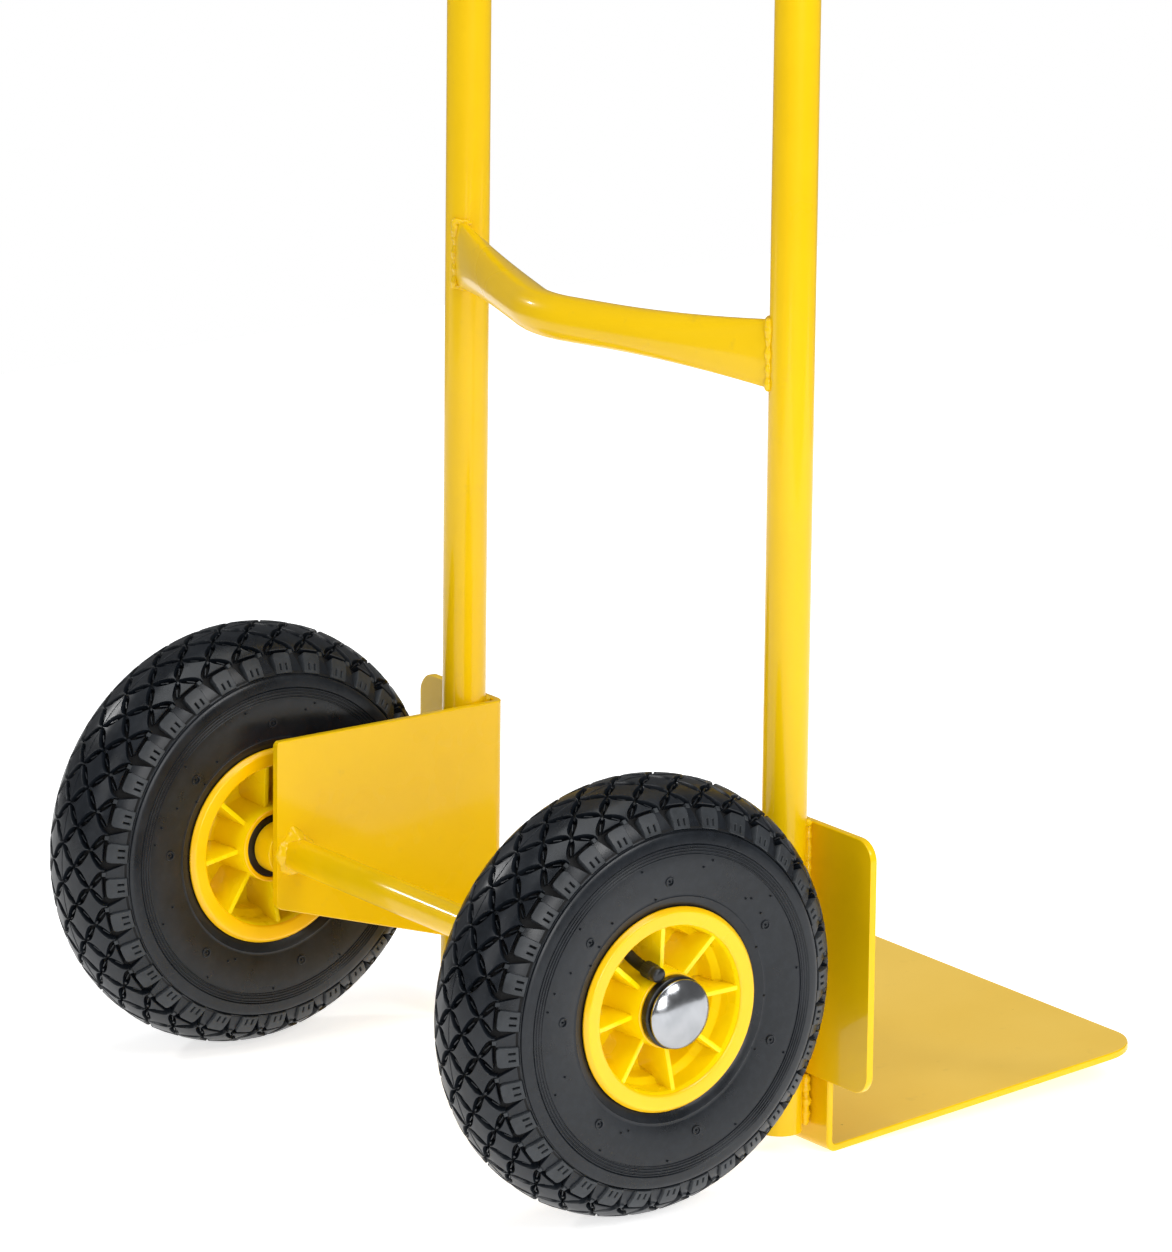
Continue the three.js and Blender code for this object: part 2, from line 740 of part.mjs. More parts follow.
// Axle, collars and push-on caps
const axle = revolve(
  [
    [-WHEEL_X - 47.5, 0], [-WHEEL_X - 47.5, AXLE_R - 1], [-WHEEL_X - 46.5, AXLE_R],
    [WHEEL_X + 46.5, AXLE_R], [WHEEL_X + 47.5, AXLE_R - 1], [WHEEL_X + 47.5, 0],
  ],
  24,
);
axle.translate(0, AXLE_Y, AXLE_Z);
addNode('axle', axle, 'powder_coat');
const collarFrom = PLATE_OUT_X + GAP - WHEEL_X;
addPair(
  'axle_collar',
  atWheel(ringAlongX(AXLE_R + GAP, COLLAR_R, collarFrom, -HUB_FACE + 0.4, 24)),
  'powder_coat',
);
addPair('axle_cap', atWheel(axleCapGeometry()), 'chrome');

// Wheels
addPair('rim', atWheel(rimGeometry()), 'rim_plastic');
addPair('tyre', atWheel(tyreGeometry()), 'tyre_rubber');
addPair('inner_tube', atWheel(innerTubeGeometry()), 'black_rubber');
addPair('valve_stem', atWheel(valveStemGeometry()), 'black_rubber');
addPair('valve_cap', atWheel(valveCapGeometry()), 'black_plastic');
[['outboard', 1], ['inboard', -1]].forEach(([place, side]) => {
  const span = (a, b) => (side > 0 ? [a, b] : [-b, -a]);
  const race = ringAlongX(16.5, SEAL_R, ...span(BEARING_SEAT + GAP, 33.3), 24);
  const cage = ringAlongX(AXLE_R + GAP, 16.2, ...span(BEARING_SEAT + GAP, 33.3), 24);
  const sealEnd = side > 0 ? 44.0 : HUB_FACE - 0.7;
  const seal = ringAlongX(AXLE_R + GAP, SEAL_R, ...span(33.6, sealEnd), 24);
  addPair(`bearing_race_${place}`, atWheel(race), 'bearing_steel');
  addPair(`bearing_rollers_${place}`, atWheel(cage), 'bearing_steel');
  addPair(`hub_seal_${place}`, atWheel(seal), 'black_plastic');
});

// Handles
addPair('hand_grip', placeGrip(gripGeometry()), 'black_plastic');

export default group;
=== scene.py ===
import math
import random

import bpy
import numpy as np
from mathutils import Matrix, Vector


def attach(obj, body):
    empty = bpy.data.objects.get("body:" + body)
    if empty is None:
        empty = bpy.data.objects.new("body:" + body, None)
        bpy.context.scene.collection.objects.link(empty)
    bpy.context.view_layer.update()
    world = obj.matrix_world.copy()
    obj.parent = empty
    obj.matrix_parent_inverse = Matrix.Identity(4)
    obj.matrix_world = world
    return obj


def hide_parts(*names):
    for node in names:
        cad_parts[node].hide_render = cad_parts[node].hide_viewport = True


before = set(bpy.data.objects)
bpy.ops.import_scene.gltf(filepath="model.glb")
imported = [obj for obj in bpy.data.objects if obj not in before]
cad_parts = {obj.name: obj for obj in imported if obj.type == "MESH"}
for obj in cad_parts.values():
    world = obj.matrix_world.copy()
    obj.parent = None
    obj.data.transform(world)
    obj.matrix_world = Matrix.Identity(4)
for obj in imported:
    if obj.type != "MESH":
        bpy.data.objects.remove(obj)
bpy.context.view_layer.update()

# Lengths below are in millimetres and angles in degrees. Meshes are scaled to metres when made.
MM = 0.001

# Frame tubes and sheets
TUBE_R = 13.3
TUBE_WALL = 1.8
RAIL_X = 160.4
RAIL_Y = -3.7
RAIL_BOTTOM = 12.0
RAIL_STRAIGHT_TOP = 985.0
RAIL_BEND_R = 85.0
RAIL_BEND = 62.0
HANDLE_LENGTH = 136.0
FIT_GAP = 0.3
SHEET = 4.5
BEND_OUT = 7.0
PLATE_OUT_X = 146.8
PLATE_IN_X = PLATE_OUT_X - SHEET
BRACKET_REAR = 146.75
BRACKET_TOP = 201.3
BRACKET_REAR_BOTTOM = 97.0
GUARD_BOTTOM = 46.6
GUARD_OUT_X = 225.4
GUARD_CORNER_R = 12.0
GUARD_REAR_Y = -17.3
GUARD_FRONT_Y = GUARD_REAR_Y - SHEET
TOE_HALF_WIDTH = 182.9
TOE_FRONT = -264.0
TOE_RISE = 4.92
TOE_CORNER_R = 25.0
FLANGE_TOP = 78.0
FLANGE_REAR = GUARD_FRONT_Y - FIT_GAP

# Crossbars
CROSSBAR_HEIGHTS = {"lower": 481.5, "upper": 842.0}
CROSSBAR_END_X = 154.5
CROSSBAR_END_Y = 5.4
CROSSBAR_APEX_Y = 58.0
CROSSBAR_BEND_R = 60.0
CROSSBAR_FLAT_H = 20.6
CROSSBAR_FLAT_T = 3.7
CROSSBAR_FLAT_RUN = 108.0
CROSSBAR_FLAT_FULL = 4.0
CROSSBAR_FLARE = 0.94
CROSSBAR_FLARE_POWER = 1.8

# Welds: the angles round the rail between which a crossbar is welded, and the beads' ripple
CROSSBAR_WELD_OUTER = 23.0
CROSSBAR_WELD_INNER = 64.0
WELD_STEP = 0.55
WELD_RIPPLE = 2.6
WELD_LUMP = 7.5
WELD_END_SIZE = 0.55

# Axle and wheels
AXLE_Y = 134.0
AXLE_Z = 130.0
AXLE_R = 10.0
AXLE_PAST_WHEEL = 47.5
WHEEL_X = 199.2
COLLAR_R = 15.5
TYRE_R = 130.0
TYRE_HALF_WIDTH = 38.2
TYRE_WIDEST_R = 92.0
TYRE_ROUNDNESS = 2.18
BEAD_R = 53.6
CASING_WALL = 9.5
MARK_R = 77.5
MARK_ANGLES = (5.0, 41.0, 88.0, 149.0, 203.0, 256.0, 311.0)
RIM_FACE = 37.6
FLANGE_R = 61.3
HUB_R = 22.6
HUB_FACE = 36.5
SEAL_BORE_R = 10.3
RIB_COUNT = 8
RIB_PHASE = 85.0
RIB_THICKNESS = 3.0
VALVE_ANGLE = 62.5
VALVE_X = 12.0
STEM_R = 3.5
STEM_BEND_START_R = 48.2
STEM_BEND_R = 19.0
STEM_BEND = 82.0

# Tread
TREAD_PITCHES = 33
TREAD_PHASE = 6.4
TREAD_DEPTH = 5.0
CORNER_GAP = 1.2
SIDE_HOLLOW = 2.7
DIAMOND_HALF = 11.0
HALF_DIAMOND_END = 30.4
LUG_START = 32.6
LUG_END = 45.6
LUG_CORNER_R = 2.6
LUG_SLOT = 0.6
FINGER_START = 38.8
FINGER_END = 44.5
SLOT_START = 39.6
SLOT_END = 43.7
GROOVE_FLOOR_R = 107.0
BLOCK_FOOT = -6.0
BLOCK_SPLAY = 0.35

# Hand grips
GRIP_LENGTH = 130.0
GRIP_R = 16.8
GRIP_BORE_DEPTH = 124.0
KNUCKLE_REACH = 52.0
KNUCKLE_STRIP = 6.0
KNUCKLE_WIDTH = 22.0

# Camera: where it stands round the object, and how far the view is rolled
CAMERA_AZIMUTH = 233.52
CAMERA_ELEVATION = 15.29
CAMERA_ROLL = 0.63
CAMERA_DISTANCE = 5401.45
CAMERA_TARGET = (-150.08, 134.0, 338.12)
CAMERA_LENS = 271.54
CAMERA_SENSOR = 36.0

# Looks
COAT_SPECULAR = 0.14
RUBBER_SPECULAR = 0.36
PLASTIC_SPECULAR = 0.5
CHIP_COLOUR = (0.2, 0.13, 0.02)

# Studio
AMBIENT = 0.2
FLOOR_HALF = 1700.0
FLOOR_GLOW = 0.68
WHITE = (1.0, 1.0, 1.0)
COOL_WHITE = (0.95, 0.98, 1.0)
# The lights' places and sizes are in metres, and all of them face this point.
LIGHT_TARGET = (0.0, 0.05, 0.4)


def rad(degrees):
    return math.radians(degrees)


# Mesh tools.


def join(*parts):
    """Several (points, faces) pairs as one."""
    points = []
    faces = []
    for part_points, part_faces in parts:
        start = sum(len(p) for p in points)
        points.append(np.asarray(part_points, float).reshape(-1, 3))
        faces += [tuple(i + start for i in face) for face in part_faces]
    return np.vstack(points), faces


def moved(shape, offset):
    points, faces = shape
    return np.asarray(points, float) + np.array(offset, float), faces


def turned_about_x(shape, degrees):
    points, faces = shape
    c = math.cos(rad(degrees))
    s = math.sin(rad(degrees))
    turn = np.array([[1, 0, 0], [0, c, -s], [0, s, c]])
    return np.asarray(points, float) @ turn.T, faces


def mirrored(shape):
    """The shape reflected in the plane x = 0, still facing outward."""
    points, faces = shape
    flipped = np.asarray(points, float) * np.array([-1.0, 1.0, 1.0])
    return flipped, [tuple(reversed(face)) for face in faces]


def loft(rings, wrap=False):
    """A closed surface through rings of equal length, with flat ends unless it wraps."""
    count = len(rings[0])
    total = len(rings)
    faces = []
    for i in range(total if wrap else total - 1):
        a = i * count
        b = ((i + 1) % total) * count
        for j in range(count):
            k = (j + 1) % count
            faces.append((a + j, a + k, b + k, b + j))
    if not wrap:
        faces.append(tuple(reversed(range(count))))
        faces.append(tuple((total - 1) * count + j for j in range(count)))
    return np.vstack(rings), faces


def revolve(profile, segments):
    """Turns [along, radius] points about the X axis. A profile off the axis closes on itself."""
    rows = []
    points = []
    for along, radius in profile:
        steps = 1 if radius == 0 else segments
        start = len(points)
        rows.append([start + j for j in range(steps)])
        for j in range(steps):
            angle = 2 * math.pi * j / segments
            points.append((along, radius * math.cos(angle), radius * math.sin(angle)))
    on_axis = len(rows[0]) == 1
    faces = []
    for i in range(len(rows) - 1 if on_axis else len(rows)):
        a = rows[i]
        b = rows[(i + 1) % len(rows)]
        for j in range(segments):
            k = (j + 1) % segments
            if len(a) == 1:
                faces.append((a[0], b[k], b[j]))
            elif len(b) == 1:
                faces.append((a[j], a[k], b[0]))
            else:
                faces.append((a[j], a[k], b[k], b[j]))
    return np.array(points), faces


def rounded(corners, steps):
    """A polygon with every corner given as (x, y, corner radius)."""
    outline = []
    for i, (x, y, radius) in enumerate(corners):
        here = np.array([x, y], float)
        if radius <= 0:
            outline.append(here)
            continue
        before = np.array(corners[i - 1][:2], float) - here
        after = np.array(corners[(i + 1) % len(corners)][:2], float) - here
        before /= np.linalg.norm(before)
        after /= np.linalg.norm(after)
        half = math.acos(max(-1.0, min(1.0, float(before @ after)))) / 2
        middle = (before + after) / np.linalg.norm(before + after)
        centre = here + middle * radius / math.sin(half)
        start = here + before * radius / math.tan(half) - centre
        end = here + after * radius / math.tan(half) - centre
        sweep = math.atan2(start[0] * end[1] - start[1] * end[0], float(start @ end))
        for k in range(steps + 1):
            angle = sweep * k / steps
            c = math.cos(angle)
            s = math.sin(angle)
            spoke = np.array([c * start[0] - s * start[1], s * start[0] + c * start[1]])
            outline.append(centre + spoke)
    return np.array(outline)


def tube(path, radii, segments, hollow=None):
    """A round bar along 3D points, with one radius per point. hollow is the bore's radius."""
    path = np.asarray(path, float)
    radii = np.broadcast_to(np.asarray(radii, float), (len(path),))
    tangents = np.gradient(path, axis=0)
    tangents /= np.linalg.norm(tangents, axis=1)[:, None]
    side = np.cross(tangents[0], [0.0, 0.0, 1.0])
    if np.linalg.norm(side) < 0.1:
        side = np.cross(tangents[0], [1.0, 0.0, 0.0])
    angles = np.linspace(0, 2 * math.pi, segments, endpoint=False)
    outer = []
    inner = []
    for point, tangent, radius in zip(path, tangents, radii):
        side = side - tangent * (side @ tangent)
        side /= np.linalg.norm(side)
        up = np.cross(tangent, side)
        ring = np.outer(np.cos(angles), side) + np.outer(np.sin(angles), up)
        outer.append(point + ring * radius)
        if hollow:
            inner.append(point + ring * hollow)
    return loft(outer + inner[::-1], wrap=bool(hollow))


def slab(outline, thickness, edge):
    """A flat plate in the (x, y) plane with eased edges, centred on z = 0."""
    outline = np.asarray(outline, float)
    nxt = np.roll(outline, -1, axis=0) - outline
    prv = outline - np.roll(outline, 1, axis=0)
    nxt /= np.linalg.norm(nxt, axis=1)[:, None]
    prv /= np.linalg.norm(prv, axis=1)[:, None]
    bisector = prv + nxt
    bisector /= np.linalg.norm(bisector, axis=1)[:, None]
    x, y = outline.T
    area = 0.5 * np.sum(x * np.roll(y, -1) - np.roll(x, -1) * y)
    inward = np.stack([-bisector[:, 1], bisector[:, 0]], axis=1) * (1 if area > 0 else -1)
    half = thickness / 2
    soft = edge * 0.3
    lower = [(edge, -half), (soft, soft - half), (0, edge - half)]
    rings = []
    for inset, level in lower + [(inset, -level) for inset, level in reversed(lower)]:
        rings.append(np.column_stack([outline + inward * inset, np.full(len(outline), level)]))
    points, faces = loft(rings)
    if area < 0:
        faces = [tuple(reversed(face)) for face in faces]
    return points, faces


# Materials.


class Finish:
    """A Principled material with short ways to make its procedural inputs."""

    def __init__(self, name, sockets):
        self.material = bpy.data.materials.new(name)
        self.material.use_nodes = True
        self.tree = self.material.node_tree
        self.surface = self.tree.nodes["Principled BSDF"]
        self.place = self.tree.nodes.new("ShaderNodeTexCoord").outputs["Object"]
        for socket, value in sockets.items():
            self.surface.inputs[socket].default_value = value

    def link(self, output, name):
        self.tree.links.new(output, self.surface.inputs[name])

    def noise(self, scale, detail=3.0, roughness=0.5):
        node = self.tree.nodes.new("ShaderNodeTexNoise")
        node.inputs["Scale"].default_value = scale
        node.inputs["Detail"].default_value = detail
        node.inputs["Roughness"].default_value = roughness
        self.tree.links.new(self.place, node.inputs["Vector"])
        return node.outputs["Fac"]

    def spread(self, value, low, high, to_low, to_high):
        """Maps the span low..high of a value onto to_low..to_high."""
        node = self.tree.nodes.new("ShaderNodeMapRange")
        sockets = ("From Min", "From Max", "To Min", "To Max")
        for name, number in zip(sockets, (low, high, to_low, to_high)):
            node.inputs[name].default_value = number
        self.tree.links.new(value, node.inputs["Value"])
        return node.outputs["Result"]

    def ramp(self, value, stops):
        node = self.tree.nodes.new("ShaderNodeValToRGB")
        elements = node.color_ramp.elements
        while len(elements) < len(stops):
            elements.new(0.5)
        for element, (position, colour) in zip(elements, stops):
            element.position = position
            element.color = (*colour, 1.0)
        self.tree.links.new(value, node.inputs["Fac"])
        return node.outputs["Color"]

    def tint(self, value, *stops):
        self.link(self.ramp(value, stops), "Base Color")

    def blend(self, factor, colour_a, colour_b):
        node = self.tree.nodes.new("ShaderNodeMix")
        node.data_type = "RGBA"
        self.tree.links.new(factor, node.inputs["Factor"])
        for colour, socket in ((colour_a, node.inputs[6]), (colour_b, node.inputs[7])):
            if isinstance(colour, tuple):
                socket.default_value = (*colour, 1.0)
            else:
                self.tree.links.new(colour, socket)
        return node.outputs[2]

    def bump(self, layers):
        """Stacks (height, strength, distance in mm) bumps on the surface."""
        last = None
        for height, strength, distance in layers:
            node = self.tree.nodes.new("ShaderNodeBump")
            node.inputs["Strength"].default_value = strength
            node.inputs["Distance"].default_value = distance * MM
            self.tree.links.new(height, node.inputs["Height"])
            if last is not None:
                self.tree.links.new(last, node.inputs["Normal"])
            last = node.outputs["Normal"]
        self.link(last, "Normal")
        return self.material


def powder_coat(name, light, deep, roughness, coat, bump=0.22, chips=0.0):
    finish = Finish(name, {"Coat Weight": coat, "Coat Roughness": 0.08, "Specular IOR Level": COAT_SPECULAR})
    cloud = finish.noise(9.0, 4.0, 0.55)
    speck = finish.noise(2600.0, 2.0)
    base = finish.ramp(cloud, [(0.3, deep), (0.7, light)])
    scuffs = finish.spread(finish.noise(55.0, 6.0, 0.7), 0.62, 0.72, 0.0, 0.35)
    dulled = tuple(c * 0.82 + 0.02 for c in deep)
    colour = finish.blend(scuffs, base, dulled)
    if chips:
        chipped = finish.spread(finish.noise(130.0, 2.0), 0.755, 0.765, 0.0, chips)
        colour = finish.blend(chipped, colour, CHIP_COLOUR)
    finish.link(colour, "Base Color")
    finish.link(finish.spread(cloud, 0.3, 0.7, roughness - 0.05, roughness + 0.07), "Roughness")
    peel = finish.noise(420.0, 2.0)
    return finish.bump([(peel, bump, 0.12), (speck, 0.12, 0.03)])


def rubber(name, colour, lighter, roughness):
    finish = Finish(name, {"Specular IOR Level": RUBBER_SPECULAR})
    cloud = finish.noise(38.0, 5.0, 0.6)
    dust = finish.spread(finish.noise(160.0, 6.0, 0.7), 0.45, 0.75, 0.0, 0.6)
    base = finish.ramp(cloud, [(0.35, colour), (0.7, lighter)])
    finish.link(finish.blend(dust, base, tuple(c * 1.35 + 0.004 for c in lighter)), "Base Color")
    finish.link(finish.spread(cloud, 0.3, 0.7, roughness - 0.06, roughness + 0.08), "Roughness")
    grain = finish.noise(1300.0, 5.0, 0.65)
    mottle = finish.noise(240.0, 4.0, 0.6)
    return finish.bump([(grain, 0.4, 0.06), (mottle, 0.22, 0.12), (cloud, 0.1, 0.4)])


def moulded(name, colour, lighter, roughness, texture):
    finish = Finish(name, {"Specular IOR Level": PLASTIC_SPECULAR})
    cloud = finish.noise(24.0, 3.0)
    finish.tint(cloud, (0.35, colour), (0.68, lighter))
    finish.link(finish.spread(cloud, 0.3, 0.7, roughness - 0.04, roughness + 0.06), "Roughness")
    grain = finish.noise(1900.0, 3.0)
    return finish.bump([(grain, texture, 0.05), (finish.noise(30.0, 2.0), 0.06, 0.4)])


def chrome(name):
    finish = Finish(name, {"Metallic": 1.0})
    finish.tint(finish.noise(60.0, 3.0), (0.3, (0.34, 0.35, 0.37)), (0.7, (0.44, 0.45, 0.47)))
    finish.link(finish.spread(finish.noise(180.0, 5.0, 0.7), 0.4, 0.75, 0.14, 0.26), "Roughness")
    return finish.bump([(finish.noise(90.0, 2.0), 0.05, 0.1)])


def ground_steel(name):
    finish = Finish(name, {"Metallic": 1.0})
    finish.tint(finish.noise(300.0, 4.0), (0.3, (0.42, 0.43, 0.45)), (0.7, (0.6, 0.61, 0.63)))
    finish.link(finish.spread(finish.noise(900.0, 4.0), 0.3, 0.7, 0.25, 0.42), "Roughness")
    return finish.bump([(finish.noise(2400.0, 2.0), 0.2, 0.02)])


COAT = powder_coat("yellow_powder_coat", (0.89, 0.565, 0.001), (0.84, 0.52, 0.001), 0.3, 0.4)
# A paler, greyer coat with dark chips, for the toe plate's top face.
COAT_TOE = powder_coat(
    "yellow_powder_coat_toe_top", (0.89, 0.6, 0.115), (0.85, 0.555, 0.085), 0.42, 0.15, bump=0.3, chips=0.5,
)
COAT_WELD = powder_coat(
    "yellow_powder_coat_on_weld", (0.9, 0.575, 0.001), (0.85, 0.53, 0.001), 0.24, 0.5, bump=0.4,
)
RIM = moulded("yellow_rim_plastic", (1.0, 0.54, 0.0), (1.0, 0.58, 0.001), 0.22, 0.05)
# Painted light: the web, ribs and hub inside the rim take a lighter yellow than the rest of the rim, to lift
# the shade that falls in the rim's hollow.
RIM_INSIDE_PAINTED_LIGHT = moulded("yellow_rim_plastic_inside_painted_light", (1.0, 0.74, 0.001), (1.0, 0.78, 0.002), 0.26, 0.05)
# Near-black rubber whose bluish tint is painted: it stands in for a cool reflection on the sidewall.
TYRE = rubber("tyre_sidewall_rubber_with_painted_blue_sheen", (0.004, 0.0055, 0.008), (0.008, 0.0105, 0.0145), 0.3)
# Painted sheen: the shoulder lugs take a lighter rubber than the sidewall, standing in for the light they
# catch from above.
LUG_PAINTED_SHEEN = rubber("tyre_lug_rubber_painted_sheen", (0.018, 0.0205, 0.0235), (0.03, 0.034, 0.039), 0.4)
# Painted shade: the groove floors between the tread blocks take a darker rubber, for the shade that falls in
# them.
GROOVE_PAINTED_SHADE = rubber("tyre_groove_rubber_painted_shade", (0.0025, 0.0025, 0.003), (0.004, 0.004, 0.0045), 0.75)
BLACK_RUBBER = rubber("black_rubber", (0.004, 0.004, 0.0045), (0.008, 0.008, 0.009), 0.4)
BLACK_PLASTIC = moulded("black_plastic", (0.005, 0.005, 0.0055), (0.009, 0.009, 0.01), 0.3, 0.22)
CHROME = chrome("chrome_plate")
STEEL = ground_steel("bearing_steel")


# Pieces.


def piece(name, shape, material, slot, body="frame", nodes=(), crease=38.0, extra=(), marks=None):
    """Makes one visible piece from millimetre points, and puts it on its CAD body."""
    points, faces = shape
    mesh = bpy.data.meshes.new(name)
    mesh.from_pydata([tuple(p) for p in np.asarray(points, float) * MM], [], faces)
    mesh.validate()
    for each in (material, *extra):
        mesh.materials.append(each)
    if marks is not None:
        mesh.polygons.foreach_set("material_index", marks)
    mesh.shade_smooth()
    mesh.set_sharp_from_angle(angle=rad(crease))
    made = bpy.data.objects.new(name, mesh)
    bpy.context.scene.collection.objects.link(made)
    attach(made, body)
    if nodes:
        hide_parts(*nodes)


def pair(name, shape, material, slot, nodes=(), body="frame", **options):
    """The same piece on the left, and its mirror image on the right."""
    for side, form in (("left", shape), ("right", mirrored(shape))):
        stands_for = [f"{node}_{side}" for node in nodes]
        own_body = body.format(side=side)
        piece(f"{name}_{side}", form, material, slot, own_body, stands_for, **options)


def wheel_pair(name, shape, material, slot, nodes, **options):
    """A piece drawn about the wheel centre, outboard along +x, on both wheels."""
    placed = moved(shape, (WHEEL_X, AXLE_Y, AXLE_Z))
    pair(name, placed, material, slot, nodes, "wheel_{side}", **options)


def weld_bead(path, radius, seed):
    """A rippled bead of weld metal along a path."""
    path = np.asarray(path, float)
    steps = np.linalg.norm(np.diff(path, axis=0), axis=1)
    along = np.concatenate([[0], np.cumsum(steps)])
    count = max(6, int(along[-1] / WELD_STEP))
    at = np.linspace(0, along[-1], count)
    dense = np.stack([np.interp(at, along, path[:, k]) for k in range(3)], axis=1)
    rng = random.Random(seed)
    phase = rng.uniform(0, 6.28)
    ripple = WELD_RIPPLE + rng.uniform(-0.3, 0.3)
    lump = WELD_LUMP + rng.uniform(-1.5, 1.5)
    radii = []
    for k, t in enumerate(at):
        swell = 0.05 * math.sin(2 * math.pi * t / ripple + phase)
        swell += 0.17 * math.sin(2 * math.pi * t / lump + 2 * phase)
        swell += 0.08 * math.sin(2 * math.pi * t / 3.7 / ripple + 3 * phase)
        radii.append(radius * (1 + swell))
        dense[k] += 0.25 * np.array([math.sin(t / 2.9 + phase + axis) for axis in range(3)])
    taper = min(5, count // 3)
    for k in range(taper):
        for end in (k, -1 - k):
            radii[end] *= WELD_END_SIZE + 0.45 * k / taper
    return tube(dense, radii, 12)


def weld_pair(name, shape):
    pair(name, shape, COAT_WELD, "powder_coat", crease=70.0)


# Frame.


def bend_point(turn):
    """The left rail's centre where its top bend has turned by this many radians."""
    return np.array([
        RAIL_X,
        RAIL_Y + RAIL_BEND_R * (1 - math.cos(turn)),
        RAIL_STRAIGHT_TOP + RAIL_BEND_R * math.sin(turn),
    ])


HANDLE_START = bend_point(rad(RAIL_BEND))
HANDLE_WAY = np.array([0.0, math.sin(rad(RAIL_BEND)), math.cos(rad(RAIL_BEND))])


def make_rails():
    """Rail tubes: straight up, then bent to the rear as the handle."""
    path = [(RAIL_X, RAIL_Y, z) for z in np.linspace(RAIL_BOTTOM, RAIL_STRAIGHT_TOP, 26)]
    path += [bend_point(rad(RAIL_BEND) * k / 24) for k in range(1, 25)]
    path += [HANDLE_START + HANDLE_WAY * distance for distance in np.linspace(15, HANDLE_LENGTH, 6)]
    pair("rail_tube", tube(path, TUBE_R, 56, TUBE_R - TUBE_WALL), COAT, "powder_coat", ["rail"])


def crossbar_station(x):
    """Centre y, tilt, half height, half thickness and squareness of a crossbar at x."""
    slope = (CROSSBAR_APEX_Y - CROSSBAR_END_Y) / CROSSBAR_END_X
    lean = math.atan(slope)
    tangent = CROSSBAR_BEND_R * math.sin(lean)
    centre_y = CROSSBAR_APEX_Y - slope * tangent - CROSSBAR_BEND_R * math.cos(lean)
    side = abs(x)
    if side <= tangent:
        tilt = math.asin(side / CROSSBAR_BEND_R)
        y = centre_y + CROSSBAR_BEND_R * math.cos(tilt)
    else:
        tilt = lean
        y = CROSSBAR_APEX_Y - slope * side
    share = (side - (CROSSBAR_END_X - CROSSBAR_FLAT_RUN)) / (CROSSBAR_FLAT_RUN - CROSSBAR_FLAT_FULL)
    share = max(0.0, min(1.0, share))
    ease = CROSSBAR_FLARE * share**CROSSBAR_FLARE_POWER
    tall = TUBE_R + (CROSSBAR_FLAT_H - TUBE_R) * ease
    thick = TUBE_R + (CROSSBAR_FLAT_T - TUBE_R) * ease
    return y, tilt * (1 if x > 0 else -1), tall, thick, 1 - 0.5 * ease


def make_crossbars():
    """Crossbars: bowed tubes pressed flat where they meet the rails."""
    for place, height in CROSSBAR_HEIGHTS.items():
        rings = []
        for x in np.linspace(-CROSSBAR_END_X, CROSSBAR_END_X, 97):
            y, tilt, tall, thick, power = crossbar_station(x)
            ring = []
            for angle in np.linspace(0, 2 * math.pi, 48, endpoint=False):
                sine = math.sin(angle)
                across = thick * math.copysign(abs(sine) ** power, sine)
                ring.append((
                    x + across * math.sin(tilt),
                    y + across * math.cos(tilt),
                    height + tall * math.cos(angle),
                ))
            rings.append(ring)
        name = f"crossbar_{place}"
        piece(f"{name}_tube", loft(rings), COAT, "powder_coat", nodes=[name], crease=60.0)


def rail_point(angle, z, out=0.0):
    """A point on the left rail's surface, by its angle from the rear towards the inner side."""
    r = TUBE_R + out
    return (RAIL_X - r * math.sin(rad(angle)), RAIL_Y + r * math.cos(rad(angle)), z)


def make_crossbar_welds():
    """A bead round the rear of each crossbar's end, with a thicker lump at its upper corner."""
    top = CROSSBAR_FLAT_H - 0.8
    outer = CROSSBAR_WELD_OUTER
    inner = CROSSBAR_WELD_INNER
    lump_spots = ((outer + 3, top - 1), (outer, top - 5), (outer, top - 10))
    for row, (place, height) in enumerate(CROSSBAR_HEIGHTS.items()):
        path = [rail_point(a, height + top, 0.6) for a in np.linspace(inner, outer, 9)]
        path += [rail_point(outer, height + z, 0.6) for z in np.linspace(top - 2, -top + 2, 12)]
        path += [rail_point(a, height - top, 0.6) for a in np.linspace(outer, inner, 9)]
        lump = [rail_point(a, height + z, 0.4) for a, z in lump_spots]
        shape = join(weld_bead(path, 2.0, 11 + row), weld_bead(lump, 3.1, 17 + row))
        weld_pair(f"weld_crossbar_{place}", shape)


